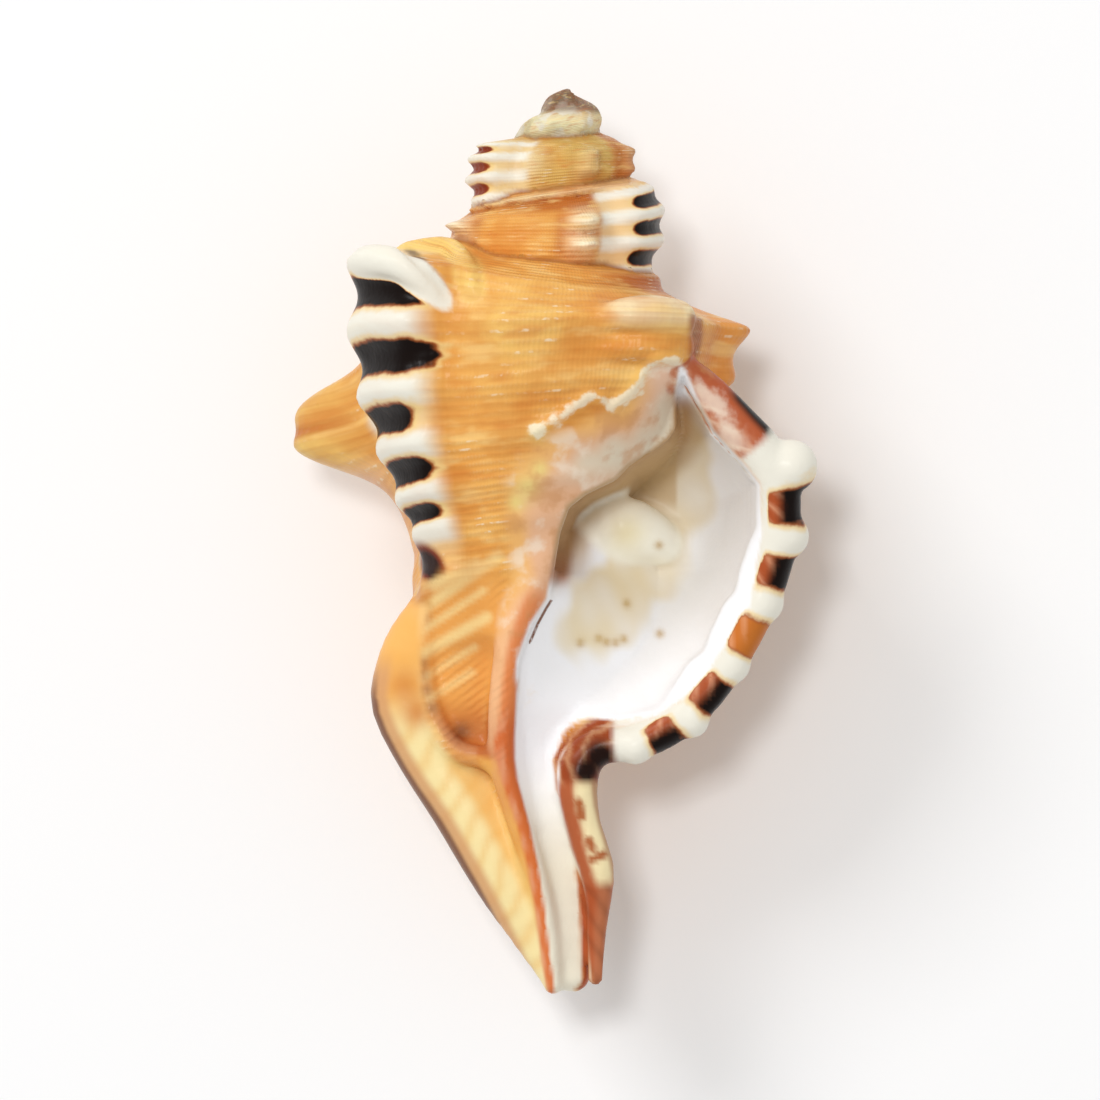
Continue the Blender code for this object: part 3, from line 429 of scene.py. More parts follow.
def body(x, y, z):
    """Depth inside the solid before it is hollowed, in mm."""
    depth = whorls(x, y, z)
    for rod in (VARIX_CORD, SHOULDER):
        depth = smooth_max(depth, chain(rod, x, y, z), 1)
    depth = smooth_min(depth, -chain(VARIX_GROOVE, x, y, z), 0.8)
    for rod, width in JOINED:
        depth = smooth_max(depth, chain(rod, x, y, z), width)
    for bead in LIP_BEADS:
        depth = smooth_max(depth, -off_bead(bead, x, y, z), 0.8)
    front = (z > 8) & (y > 12) & (y < 26) & (depth > -4)
    lift = np.zeros(x.shape)
    for line in CALLUS_LINES:
        beside = plan_distance(line, x[front], y[front])
        lift[front] = np.maximum(lift[front], CALLUS_RISE * np.exp(-(beside / CALLUS_WIDTH) ** 2))
    return depth + lift


def hollow(x, y, z):
    """Depth inside the mouth's hollow and the canal's groove, in mm."""
    near = (x > -7.5) & (x < 30) & (z > -28)
    px, py, pz = x[near], y[near], z[near]
    runs = (LIP_EDGE, CANAL_EDGE, COLUMELLA_EDGE, PARIETAL_EDGE)
    ring = sum((run[:-1] for run in runs), ())
    lip, canal, columella, parietal = (plan_distance(run, px, py) for run in runs)
    edge = np.minimum.reduce([lip, canal, columella, parietal])
    inside = np.where(plan_inside(ring, px, py), edge, -edge)
    rim = np.interp(py, (-60, -35, -28, -10, 10, 24), (3, 5, 5.5, 8, 10.5, 15))
    canal_part = fall(-33, -20, py)
    bowl = np.sqrt(np.clip(1 - (1 - np.clip(lip / 13, 0, 1)) ** 2, 0, 1))
    slope = np.clip(columella / 15, 0, 1)
    cliff = np.clip(parietal / 3, 0, 1)
    main = MOUTH_DEPTH * np.minimum(np.minimum(bowl, 0.10 + 0.90 * slope), 0.50 + 0.50 * cliff)
    main *= np.interp(py, (-30, -22, -14, -4, 12, 22), (0.2, 0.36, 0.62, 0.95, 1, 0.5))
    along_canal = np.interp(py, (-60, -45, -33), (0.55, 0.78, 1))
    groove = CANAL_DEPTH * along_canal * np.clip(edge / 1.4, 0, 1) ** 0.6
    floor = rim + 1.2 - (canal_part * groove + (1 - canal_part) * main)
    cut = np.full(x.shape, -1e3)
    cut[near] = smooth_min(inside, (pz - floor) * 0.6, 1)
    return smooth_max(cut, chain(UNDERCUT, x, y, z), 2)


def field(x, y, z):
    """Depth inside the shell in mm: above zero in it, below zero outside."""
    solid = body(x, y, z)
    cut = hollow(x, y, z)
    near = np.flatnonzero(cut > -3)
    wall = body(x[near], y[near], np.minimum(z[near], 1)) - BACK_WALL
    cut[near] = smooth_min(cut[near], wall, 1.5)
    result = smooth_min(solid, -cut, 0.8)
    return smooth_max(result, chain(LUMP, x, y, z), 4)


def sampled(step, low=(-38, -63, -32), high=(38, 63, 27)):
    """The field on a grid, worked out finely only near the surface."""
    ratio = 4
    counts = [int(math.ceil((b - a) / (step * ratio))) * ratio + 1 for a, b in zip(low, high)]
    axes = [a + step * np.arange(n) for a, n in zip(low, counts)]
    coarse = [axis[::ratio] for axis in axes]
    cx, cy, cz = (part.ravel() for part in np.meshgrid(*coarse, indexing="ij"))
    rough = field(cx, cy, cz).reshape([len(axis) for axis in coarse])

    def spread(block):
        return block.repeat(ratio, 0).repeat(ratio, 1).repeat(ratio, 2)[: counts[0], : counts[1], : counts[2]]

    grid = np.clip(spread(rough), -3, 3)
    close = np.abs(rough) < 1.9 * step * ratio + 0.6
    sign = rough > 0
    for axis in range(3):
        change = np.diff(sign, axis=axis)
        for ends in ((0, 1), (1, 0)):
            close |= np.pad(change, [ends if i == axis else (0, 0) for i in range(3)])
    for axis in range(3):
        wide = np.pad(close, [(0, 1) if i == axis else (0, 0) for i in range(3)])
        close = close | np.take(wide, range(1, wide.shape[axis]), axis)
    i, j, k = np.nonzero(spread(close))
    for part in np.array_split(np.arange(len(i)), max(1, len(i) // 400000)):
        a, b, c = i[part], j[part], k[part]
        grid[a, b, c] = field(axes[0][a], axes[1][b], axes[2][c])
    return axes, grid


def surface(axes, grid):
    """The closed surface where the depth is zero: its points in mm and its faces."""
    step = axes[0][1] - axes[0][0]
    volume = openvdb.FloatGrid(3.0)
    volume.copyFromArray((-grid).astype(np.float32))
    points, triangles, quads = volume.convertToPolygons(0.0, 0.0)
    points = np.asarray(points, float) * step + np.array([axis[0] for axis in axes])
    faces = [tuple(int(i) for i in face) for group in (triangles, quads) for face in group]
    return points, faces


def largest_piece(points, faces):
    """Only the points and faces of the largest connected surface."""
    label = np.arange(len(points))
    corners = np.array([(face + face[:1])[:4] for face in faces])
    while True:
        low = label[corners].min(axis=1)
        before = label.copy()
        for i in range(4):
            np.minimum.at(label, corners[:, i], low)
        label = label[label]
        if (label == before).all():
            break
    names, counts = np.unique(label, return_counts=True)
    keep = label == names[counts.argmax()]
    number = np.cumsum(keep) - 1
    kept = [tuple(int(number[i]) for i in face) for face in faces if keep[face[0]]]
    return points[keep], kept


def volume_of(points, faces):
    total = 0.0
    for face in faces:
        for i in range(1, len(face) - 1):
            a, b, c = points[face[0]], points[face[i]], points[face[i + 1]]
            total += float(np.dot(a, np.cross(b, c)))
    return total / 6


def turned(points):
    """Points or directions of the shell's own frame, turned onto the shell's back."""
    return np.asarray(points, float) @ REST_TURN.T


def laid_down(points):
    """The points turned so that the back meets the ground, centred over the origin, in metres."""
    laid = turned(points)
    low, high = laid.min(axis=0), laid.max(axis=0)
    laid -= np.array([(low[0] + high[0]) / 2, (low[1] + high[1]) / 2, low[2]])
    return laid * MM


def growth(x, y, z):
    """The turn and the cord number of the whorl that shows at each point, and how clear it is of the next."""
    radius, first = polar(x, y, z)
    best = np.full(x.shape, -1e3)
    second = np.full(x.shape, -1e3)
    turn = np.zeros(x.shape)
    cord = np.zeros(x.shape)
    for lap in range(LAPS):
        here = first + 360 * lap
        depth = (look_up(TABLE, here, y) - radius) / look_up(STEEP, here, y)
        wins = depth > best
        second = np.where(wins, best, np.maximum(second, depth))
        best = np.where(wins, depth, best)
        turn = np.where(wins, here, turn)
        cord = np.where(wins, look_up(CORD, here, y), cord)
    return turn, cord, rise(0.1, 0.8, best - second)


def relief_table():
    """How far the whorls stand out of their own surroundings over (turn, height), in mm."""
    out = ornament(np.broadcast_to(TURNS[:, None], CORD.shape), CORD)
    return out - softened(softened(out, 14, 0), 14, 1)


def colour(red, green, blue):
    """A display colour from 0 to 255 as linear light."""
    values = np.array((red, green, blue), float) / 255
    return np.where(values <= 0.04045, values / 12.92, ((values + 0.055) / 1.055) ** 2.4)


OCHRE = colour(226, 150, 66)
GOLD = colour(240, 184, 100)
# Orange-brown of painted shade in the whorls' ramps, grooves, flanks and hollows.
ORANGE_SHADE = colour(176, 88, 28)
PALE = colour(246, 214, 146)
CREAM = colour(244, 226, 178)
WHITE = colour(238, 234, 220)
PORCELAIN = colour(249, 250, 252)
TAN = colour(196, 164, 116)
SHADE = colour(176, 110, 68)
PEACH = colour(240, 184, 112)
ROSE = colour(232, 184, 152)
CHALK = colour(228, 216, 192)
BLACK = colour(16, 5, 2)
UMBER = colour(66, 28, 12)
RUST = colour(134, 50, 18)
BRICK = colour(176, 84, 44)
ORANGE = colour(214, 124, 48)
OLIVE = colour(206, 172, 92)
MOSS = colour(242, 238, 194)
TIP = colour(108, 88, 72)
LEMON = colour(240, 218, 136)

# Seen from the mouth side, in mm: the shadowed floor, the crack beside the inner lip, pale and thin cords low
# on the left, the painted shadow line behind the varix, dots and edges of the canal, and stains of the
# mouth's floor.
WARM_FLOOR = ((16.5, 13.5), (15.6, 5), (10.5, -4.5), (4.5, -11))
CRACK = ((-0.5, -8.1), (-1.2, -9.2), (-2.3, -11.2), (-3.4, -13.8))
PALE_CORDS = (((-18.4, -7), (-10.5, -3.4)), ((-18.2, -9.6), (-7.6, -2.2)), ((-19, -16), (-9.2, -10.4)))
THIN_CORDS = (((-18.4, -12.6), (-9.6, -6.8)), ((-18.2, -18.9), (-10.8, -14.4)),
              ((-17, -21.4), (-11.2, -17.8)))
SHADOW_BEHIND_VARIX = ((-19.6, 38.9), (-17.6, 37.1), (-15.8, 34.9), (-14.9, 33.6))
CANAL_DOTS = (((3.2, -35.2), (3.6, -37.2)), ((4.6, -40.4), (5, -41.4)), ((5, -42.9), (6.5, -42.3)))
CANAL_LEFT = ((-60.9, -0.14), (-56.2, -0.82), (-50.2, -1.49), (-44.3, -2.3), (-38.3, -3.57), (-35.4, -4.33),
              (-32.4, -5.14), (-29.4, -5.54), (-26.5, -5.54), (-20.5, -5.3), (-17, -4.7))
CANAL_RIGHT = ((-58.6, 5.06), (-56.2, 4.6), (-50.2, 4), (-47.3, 3.9), (-44.3, 3.2), (-41.3, 2.1),
               (-38.3, 1.35), (-35.4, 0.67), (-32.4, 0.27), (-29.4, 0.13))
STAINS = ((9.7, -8.6), (14.2, -12.7), (5.9, -13.3), (7, -13.8), (8.2, -13.9), (9.3, -13.4),
          (14.1, -0.7), (3.4, -13.9))


def blend(base, tone, share):
    return base + (tone - base) * np.clip(share, 0, 1)[:, None]


def coat(base, tone, share):
    """Lay a share of the tone over the colours in base."""
    base += (tone - base) * np.clip(share, 0, 1)[:, None]


def wave(x, y, z):
    """A slow wandering value around zero."""
    return (np.sin(0.31 * x + 0.23 * y + 0.7) * np.sin(0.27 * y - 0.19 * z + 1.3)
            + 0.6 * np.sin(0.73 * x - 0.41 * z + 2.1) * np.sin(0.63 * y + 0.37 * x))


def run_along(line, x, y, z):
    """Distance in mm to a run of straight pieces, how far along it the nearest point is, and its side."""
    best = np.full(x.shape, 1e3)
    along = np.zeros(x.shape)
    side = np.zeros(x.shape)
    start = 0.0
    for a, b in zip(line[:-1], line[1:]):
        dx, dy, dz = (float(q - p) for p, q in zip(a[:3], b[:3]))
        px, py, pz = x - a[0], y - a[1], z - a[2]
        length = math.hypot(dx, dy, dz)
        t = np.clip((px * dx + py * dy + pz * dz) / length ** 2, 0, 1)
        gap = np.sqrt((px - t * dx) ** 2 + (py - t * dy) ** 2 + (pz - t * dz) ** 2)
        closer = gap < best
        best = np.where(closer, gap, best)
        along = np.where(closer, start + t * length, along)
        side = np.where(closer, (px * dy - py * dx) / math.hypot(dx, dy), side)
        start += length
    return best, along, side


def place_on(line, x, y, z):
    return run_along(line, np.array([x]), np.array([y]), np.array([z]))[1][0]


def paint(points):
    """Tint, dye and the strengths of the patterns at each point of the surface, by name."""
    x, y, z = points[:, 0], points[:, 1], points[:, 2]
    turn, cord, clear = growth(x, y, z)
    relief = look_up(relief_table(), turn, y)
    drift = wave(x, y, z)
    front = rise(-2, 6, z)
    dye = blend(BLACK, RUST, rise(840, 880, turn))
    ink, thread = np.zeros(len(x)), np.ones(len(x))

    def beside(line):
        return plan_distance(line, x, y)

    def spot(at, reach):
        return np.exp(-((x - at[0]) ** 2 + (y - at[1]) ** 2) / reach ** 2)

    def glow(rod, reach):
        """One near the surface of a rod, fading off it."""
        return fall(0.4, reach, -chain(rod, x, y, z))

    # Warm body with paler rounds, painted shade in its ramps and hollows, and painted highlight on what
    # stands out.
    ridge = 0.5 + 0.5 * np.cos(2 * np.pi * cord)
    tint = blend(OCHRE, GOLD, 0.38 + 0.30 * ridge + 0.16 * drift)
    # Painted shade: orange-brown in the hollow ramp under the body whorl's suture.
    ramp = window(0, 0.3, 0.7, 1.3, cord)
    coat(tint, ORANGE_SHADE, ramp * 0.95 * window(298, 335, 400, 450, turn))
    # Painted shade: orange-brown under the pale suture band of the whorl above the body.
    shade_under_suture = window(0.35, 0.7, 1.3, 1.7, cord)
    coat(tint, ORANGE_SHADE, shade_under_suture * 0.85 * window(590, 640, 672, 690, turn))
    # Painted highlight where the relief stands out of its surroundings, painted shade where it sinks.
    coat(tint, PALE, 0.75 * rise(0.25, 1.6, relief) * rise(280, 320, turn))
    coat(tint, ORANGE_SHADE, 0.70 * rise(0.15, 0.9, -relief) * rise(280, 320, turn))

    # Knobs have painted highlight at their crests, with painted shade on their flanks and in the groove
    # between their two cords.
    for centre, where, height, width, tall in KNOBS:
        away, along = np.abs(turn - centre), cord - where
        near = np.exp(-(away / (width * 1.1)) ** 2.5 - (along / (tall * 1.2)) ** 2)
        crest_highlight = colour(255, 246, 214) if centre > 500 else colour(240, 202, 116)
        coat(tint, crest_highlight, 0.95 * near * min(1, height / 1.2))
        flank_shade = np.exp(-((away - width * 1.5) / (width * 0.4)) ** 2 - (along / tall) ** 2)
        coat(tint, ORANGE_SHADE, 0.6 * flank_shade * rise(500, 560, turn))
    # Painted shade in the groove between the big knob's two cords, and a rosy band below them.
    for tone, cover, where, tall in ((ORANGE_SHADE, 0.85, 2.80, 0.16), (ROSE, 0.7, 3.75, 0.22)):
        coat(tint, tone, cover * np.exp(-(np.abs(turn - 182) / 15) ** 3 - ((cord - where) / tall) ** 2))
    # Painted shade in the groove between the two cords of the knobs on the whorl above the body.
    between = bell(cord, 2.5, 0.14)
    for centre in (578, 661):
        coat(tint, ORANGE_SHADE, 0.6 * between * np.exp(-(np.abs(turn - centre) / 11) ** 4))
    behind_lip = rise(15, 17, x) * window(18, 20, 32, 34, y) * fall(4, 9, z)
    coat(tint, colour(230, 148, 68), 0.8 * behind_lip)

    # The ledge above the mouth: a painted highlight along its top and a dark broken end.
    ledge = glow(LEDGE, 1.8)
    # Painted highlight: near-white on the ledge's upper side.
    ledge_highlight = ledge * window(27.6, 29.8, 32.4, 33.4, y) * rise(4.5, 11.5, x + 1.5 * drift)
    coat(tint, colour(246, 228, 184), 0.95 * ledge_highlight)
    coat(tint, OCHRE, 0.6 * glow(LEDGE_LOW, 1.6))
    end = rise(17.3, 18.4, x) * window(23.6, 24.8, 29.5, 30.8, y) * rise(8, 11, z)
    coat(tint, RUST, 0.8 * end * fall(19.4, 20.2, x))

    # Spire: gold and olive, then the worn and encrusted early whorls.
    coat(tint, OLIVE, rise(790, 850, turn) * (0.62 + 0.2 * drift) * fall(1052, 1066, turn))
    coat(tint, colour(190, 112, 48), 0.8 * window(1052, 1066, 1100, 1120, turn))
    crust = rise(1108, 1150, turn)
    coat(tint, MOSS, crust * (0.9 + 0.1 * drift))
    coat(tint, TIP, rise(57, 58.2, y) * 0.95)
    suture_lip = bell(cord, 0.1, 0.3) * window(550, 600, 900, 960, turn)
    coat(tint, colour(240, 212, 168), 0.8 * suture_lip)

    # Varices: white cords with dark bars between them. Each row is the bars' first and last turn (0 for the
    # bar_ends), the white's first and last turn, how strong the bars are, how full the white, and the tips.
    bar_ends = np.interp(cord, (1.5, 2, 2.5, 3, 3.5, 4, 4.5, 5.5, 6.5),
                         (246, 246, 247, 243, 238, 240, 243, 241, 243))
    bands = (
        (-4, 10, 14, 26, 1, 1, 6), (205, 0, 241, 251, 1, 1, 7), (446, 474, 440, 484, 1, 1, 6),
        (693, 742, 672, 752, 1, 1, 6), (905, 950, 908, 976, 0.9, 0.95, 7),
        (1146, 1172, 1140, 1178, 0.4, 0.5, 6),
    )
    for first, last, white_first, white_last, strength, cover, tip in bands:
        end_of_bars = last or bar_ends
        if last == 0:
            white_first = np.interp(cord, (0.7, 1.3, 2), (233, 238, 241))
            white_last = white_first + np.interp(cord, (0.7, 1.3), (3, 7))
        if first < 400:
            white = window(first - 6, first, white_first, white_last, turn)
        else:
            white = window(white_first - 4, white_first + 4, white_last - 6, white_last + 6, turn)
        reach = window(0.1, 0.5, 6, 7, cord)
        coat(tint, CREAM, white * cover * reach * 0.6)
        coat(tint, WHITE, white * cover * reach * rise(0.15, 0.75, ridge))
        bars = window(first - tip, first + tip, end_of_bars - tip, end_of_bars + tip, turn)
        bars = bars * rise(0.9, 1.2, cord) * (1 - rise(5.9, 6.2, cord) * (last == 0))
        ink = np.maximum(ink, strength * bars)
        thread = np.minimum(thread, 1 - 0.85 * white * reach)
    # Painted shadow: a dark line in the gap behind the varix's top cord.
    varix_shadow_gap = beside(SHADOW_BEHIND_VARIX)
    coat(tint, UMBER, 0.85 * fall(0.2, 0.8, varix_shadow_gap) * rise(2, 5, z))
    seam = (1 - clear) * front * rise(20, 24, y)
    coat(tint, colour(150, 80, 32), 0.75 * seam)
    thread *= clear
    ink *= clear * rise(-36, -32, y)
    shoulder = glow(SHOULDER, 1.6)
    coat(tint, colour(246, 208, 120), 0.85 * shoulder)
    varix_cord = glow(VARIX_CORD, 1) * rise(-3.5, 0.5, z)
    coat(tint, WHITE, 0.95 * varix_cord)
    ink *= 1 - varix_cord
    thread *= 1 - varix_cord
    low_blotch = np.exp(-((x + 16.9 + 0.35 * (y + 3.2)) / 2.3) ** 2 - ((y + 3.4) / 2.9) ** 2) * front
    coat(tint, RUST, 1.1 * rise(0.15, 0.6, low_blotch + 0.1 * drift))
    coat(tint, colour(38, 12, 5), 1.2 * rise(0.40, 0.85, low_blotch + 0.1 * drift))
    thread *= fall(0.15, 0.6, low_blotch)

    # Below the varix: orange hollow crossed by slanting pale cords and fine threads, with dark red painted
    # shade towards its bottom and in its pit.
    fold_rim, _, rim_side = run_along(FOLD_RIM, x, y, z)
    recess = fall(-0.6, 0.6, rim_side) * window(-19.4, -18.2, -8, -5, x)
    recess *= window(-31, -28.5, -8, -2.5, y) * front
    coat(tint, colour(234, 162, 82), 0.85 * recess)
    for line in PALE_CORDS:
        coat(tint, PALE, 0.85 * fall(0.2, 1.3, beside(line)) * front)
    for line in THIN_CORDS:
        coat(tint, PALE, 0.7 * fall(0.1, 0.9, beside(line)) * front)
    # Painted shade: dark red at the bottom of the hollow, and a darker spot for the shade of its pit.
    coat(tint, BRICK, recess * fall(-26, -20.5, y) * 0.8)
    coat(tint, colour(96, 22, 16), 1.1 * spot((-12.6, -25.8), 1.3) * front)
    for at in ((-17.7, -8.6), (-17.7, -10.4), (-18.1, -16.6), (-18, -18.2), (-17.4, -20.2), (-16.6, -22.6)):
        coat(tint, colour(128, 62, 24), 0.75 * spot(at, 0.95) * front)
    thread *= 1 - recess

    # Fold: orange above, cream below with slanting growth bands, brown along its outer edge.
    fold, fold_along, outer_side = run_along(FOLD, x, y, z)
    beside_canal = rise(-7, -5, x) * rise(-40, -36, y)
    on_fold = fall(5.2, 6.6, fold) * (1 - beside_canal) * fall(-9.5, -7, y) * (1 - recess)
    growth_band = 0.5 + 0.5 * np.sin(1.1 * fold_along + 0.9 * x + 1.6 * drift)
    fold_tone = blend(colour(246, 226, 166), colour(234, 184, 106), 0.45 * growth_band ** 2)
    coat(fold_tone, colour(240, 186, 96), 0.7 * rise(0.6, 2.2, -outer_side) * fall(-32, -26, y))
    coat(fold_tone, colour(244, 176, 86), 0.85 * rise(-27, -19, y))
    coat(fold_tone, colour(196, 102, 34), 0.5 * spot((-20.4, -19.6), 2.4) + 0.6 * spot((-18.6, -23.4), 2))
    coat(fold_tone, colour(212, 156, 108), 0.85 * rise(1.4, 2.8, outer_side) * fall(-19, -14, y))
    banded_z = z + 0.6 * growth_band
    dark_side = rise(3.2, 3.9, outer_side) * fall(-21, -16, y + 1.5 * drift) * rise(-4.6, -2.2, banded_z)
    coat(fold_tone, colour(98, 52, 42), 0.85 * dark_side)
    coat(tint, fold_tone, on_fold * 0.97)
    coat(tint, CREAM, 0.8 * fall(0.8, 1.6, fold_rim) * front * fall(-9, -7, y))
    edge_line = on_fold * fall(-3.4, -1.2, z) * rise(-5.2, -3, banded_z)
    coat(tint, colour(84, 44, 34), 0.85 * edge_line * fall(-24, -18, y))
    thread *= 1 - on_fold * rise(-4, 0.5, z)

    # Callus: a peach glaze that turns chalky towards the mouth's edge.
    parietal = beside(PARIETAL_EDGE)
    columella = beside(COLUMELLA_EDGE)
    edge = np.minimum(parietal, columella)
    spread = np.interp(y, (-20, -8, 2, 8, 13, 17, 22), (3.2, 5.8, 8.4, 10.6, 11, 9.4, 5.5))
    near_edge = edge / spread
    glaze = fall(0.7, 1, near_edge) * rise(3, 7, z) * window(-20, -14, 22.5, 24, y)
    coat(tint, PEACH, 0.9 * glaze)
    coat(tint, ROSE, glaze * fall(0.35, 0.8, near_edge + 0.12 * drift) * 0.8)
    coat(tint, CHALK, glaze * fall(0.15, 0.55, near_edge + 0.10 * drift) * rise(6, 11, y) * 0.95)
    coat(tint, colour(236, 196, 168), glaze * spot((14.2, 21.6), 2.6) * 0.9)
    thread *= 1 - glaze
    glaze_line = np.where(z > 8, np.minimum(*[beside(line) for line in CALLUS_LINES]), 9)
    thread *= rise(0.4, 1.4, glaze_line)
    for at, reach in (((-3.6, 7), 1.7), ((-5.2, 5), 1.2), ((-2, 9.4), 1.1), ((-2.4, 14.2), 1.2)):
        coat(tint, LEMON, 0.8 * spot(at, reach) * rise(8, 10, z))

    # Inner lip: a rosy strip beside the mouth that runs down as a thin red-brown line to the canal's tip.
    ridge_gap, _, ridge_side = run_along(LEFT_RIDGE, x, y, z)
    ridge_width = np.interp(y, (-60, -46, -32, -20), (0.35, 0.65, 1.2, 1.9))
    on_ridge = fall(0, 0.7, ridge_gap - ridge_width) * fall(-9, -5, y) * front
    coat(tint, colour(240, 186, 140), 0.85 * on_ridge)
    coat(tint, colour(222, 120, 56), 0.85 * on_ridge * rise(-0.9, 0.3, -ridge_side))
    coat(tint, colour(200, 92, 44), 0.85 * on_ridge * fall(-34, -26, y))
    thread *= rise(0.6, 2.2, ridge_gap - ridge_width)
    line_width = np.interp(y, (-61, -50, -38, -32, -27, -20), (0.9, 1.1, 1.5, 2, 2.6, 1))
    from_left = x - np.interp(y, *zip(*CANAL_LEFT))
    lip_line = window(-line_width - 0.4, -line_width + 0.3, 0.3, 0.9, from_left)
    lip_line *= rise(20, 26, -y) * rise(-2, 0, z)
    coat(tint, colour(212, 106, 52), 0.92 * lip_line)
    thread *= 1 - lip_line
    outer_half = fall(-0.3, 0.2, from_left + 0.5 * line_width)
    coat(tint, colour(236, 180, 140), 0.5 * lip_line * outer_half * growth_band)

    # Mouth and canal: white porcelain, tan where the floor lies in shade, and painted light on the swelling
    # inside.
    cut = hollow(x, y, z)
    left_half = rise(18, 20, -y) * fall(2.4, 3.4, from_left) * rise(-4, -3, cut) * rise(0, 1.5, z + 3)
    inside = rise(-0.8, -0.2, cut)
    inside = inside + (rise(-0.1, 0.4, from_left) - inside) * left_half
    warm = fall(3.6, 6.4, beside(WARM_FLOOR) + 1.4 * drift)
    towards_lip = fall(2, 11, beside(LIP_EDGE)) * fall(5, 9, z)
    porcelain = blend(PORCELAIN, colour(250, 250, 252), 0.9 * towards_lip)
    coat(porcelain, colour(236, 220, 184), (0.80 + 0.2 * drift) * warm * fall(2, 8, z))
    under_edge = fall(1.2, 3, parietal) * rise(-1, 1.5, y + 6) * fall(17, 20, y)
    coat(porcelain, SHADE, 0.9 * under_edge)
    coat(porcelain, TAN, 0.7 * fall(3, 5.5, parietal) * window(-6, 0, 17, 20, y))
    left_of_fold = fall(16.2, 16.9, x) * rise(3, 6, y) * rise(-0.4, 1.2, parietal)
    coat(porcelain, colour(206, 176, 130), 0.7 * left_of_fold)
    # Painted light: the swelling inside the mouth near-white, yellow where it is brightest.
    lit_lump = glow(LUMP, 1.8)
    coat(porcelain, colour(255, 253, 238), 0.95 * lit_lump)
    coat(porcelain, LEMON, 0.45 * lit_lump * spot((9.6, 1), 2.6))
    for at in STAINS:
        coat(porcelain, colour(196, 158, 84), 0.75 * spot(at, 0.6))
    coat(porcelain, colour(232, 221, 190), 0.75 * fall(-46, -27, y))
    coat(tint, porcelain, inside)
    crack = np.where(z > 2, beside(CRACK), 9)
    thread *= 1 - inside
    ink *= 1 - inside

    # Outer lip: white beads with dark bars between them, then the red-brown side of the canal.
    gap, along, side = run_along(LIP_RIM, x, y, z)
    on_rim = fall(3.4, 4.4, gap)
    for bead in LIP_BEADS:
        on_rim = np.maximum(on_rim, fall(0.5, 1.2, off_bead(bead, x, y, z)))
    rim_cover = on_rim
    canal_wall = rise(24, 26, -y) * fall(1.5, 2.4, side) * (z > 1)
    right_bank = rise(-0.3, 0.3, x - np.interp(y, *zip(*CANAL_RIGHT))) * rise(0.5, 2, z)
    low_down = rise(31, 34, -y)
    canal_wall = canal_wall + (right_bank - canal_wall) * low_down
    on_rim = np.maximum(on_rim, right_bank * low_down)
    on_rim *= 1 - inside * (1 - canal_wall)
    beads = [place_on(LIP_RIM, *bead[:3]) for bead in LIP_BEADS]
    corner = place_on(LIP_RIM, 3.4, -29, 5)
    lower = place_on(LIP_RIM, 6.1, -46.6, 4)
    bead_number = np.interp(along, [0] + beads, [0.6, 2, 3, 4, 5, 6, 7])
    inner = rise(-0.9, 0.9, side)
    streak = 0.5 + 0.5 * np.sin(1.9 * along + 2.6 * side + 1.5 * drift)
    upper = fall(beads[0] - 5.6, beads[0] - 4.2, along)
    outer_edge = fall(-2.6, -1.4, side) * rise(5, 8, along)
    fleck = 0.5 + 0.5 * np.sin(3.4 * along + 1.7 * side) * np.sin(1.3 * along - 4.1 * side + drift)
    upper_tone = blend(colour(182, 92, 56), colour(222, 160, 122), 0.6 * rise(-1.6, 1, side) * fleck)
    coat(upper_tone, colour(244, 214, 186), 0.7 * rise(-0.6, 1.6, side) * streak ** 4)
    coat(upper_tone, BLACK, outer_edge)
    rim_tone = blend(WHITE, upper_tone, upper)
    turn_part = rise(beads[5] + 2, beads[5] + 3.2, along)
    corner_tone = blend(colour(158, 72, 36), colour(228, 178, 132), 0.5 * streak ** 3)
    for at, reach in (((6, -29), 1.9), ((4.2, -31), 1.6)):
        coat(corner_tone, colour(30, 10, 4), 1.5 * spot(at, reach))
    coat(rim_tone, corner_tone, turn_part)
    canal_part = rise(corner + 2.6, corner + 4.2, along)
    canal_tone = blend(CREAM, colour(176, 82, 40), rise(-0.3, 0.9, side + 0.4 * drift) * 0.95)
    coat(canal_tone, colour(160, 88, 48), 0.7 * rise(1.5, 2.3, -side))
    for line in CANAL_DOTS:
        coat(canal_tone, colour(170, 84, 34), 0.95 * np.exp(-(beside(line) / 0.62) ** 4))
    coat(rim_tone, canal_tone, canal_part)
    lower_part = rise(lower - 1.5, lower + 0.5, along)
    coat(rim_tone, BRICK, 0.9 * lower_part)
    coat(rim_tone, UMBER, 0.22 * lower_part * streak ** 2)
    coat(tint, rim_tone, on_rim)
    rim_ink = rim_cover * (1 - upper) * (1 - turn_part) * fall(1.1, 2, side)
    rim_ink *= rise(-0.5, 0.5, along - beads[0])
    near_rim = (gap < 5.2) | (on_rim > 0.02)
    ink = np.where(near_rim, rim_ink, ink * rise(5.2, 6.4, gap))
    bar_cord = np.where(near_rim, bead_number, cord)
    orange_bar = np.exp(-((bead_number - 4.5) / 0.5) ** 4)
    rim_dye = blend(BLACK, BRICK, 0.95 * inner)
    coat(rim_dye, ORANGE, orange_bar * 0.8)
    coat(rim_dye, colour(236, 178, 138), 0.5 * inner * streak ** 3)
    dye = np.where(near_rim[:, None], rim_dye, dye)
    thread *= 1 - on_rim
    crust = crust * (1 - 0.7 * rise(57, 58.2, y))
    return dict(tint=tint, dye=dye, ink=ink, bar_cord=bar_cord, turn=turn, cord=cord, thread=thread,
                crust=crust, crack=crack, slant=0.8 * y - 0.6 * x, glaze=glaze * (1 - inside),
                recess=recess * (1 - on_rim) * rise(-18, -16, x), glaze_line=glaze_line)


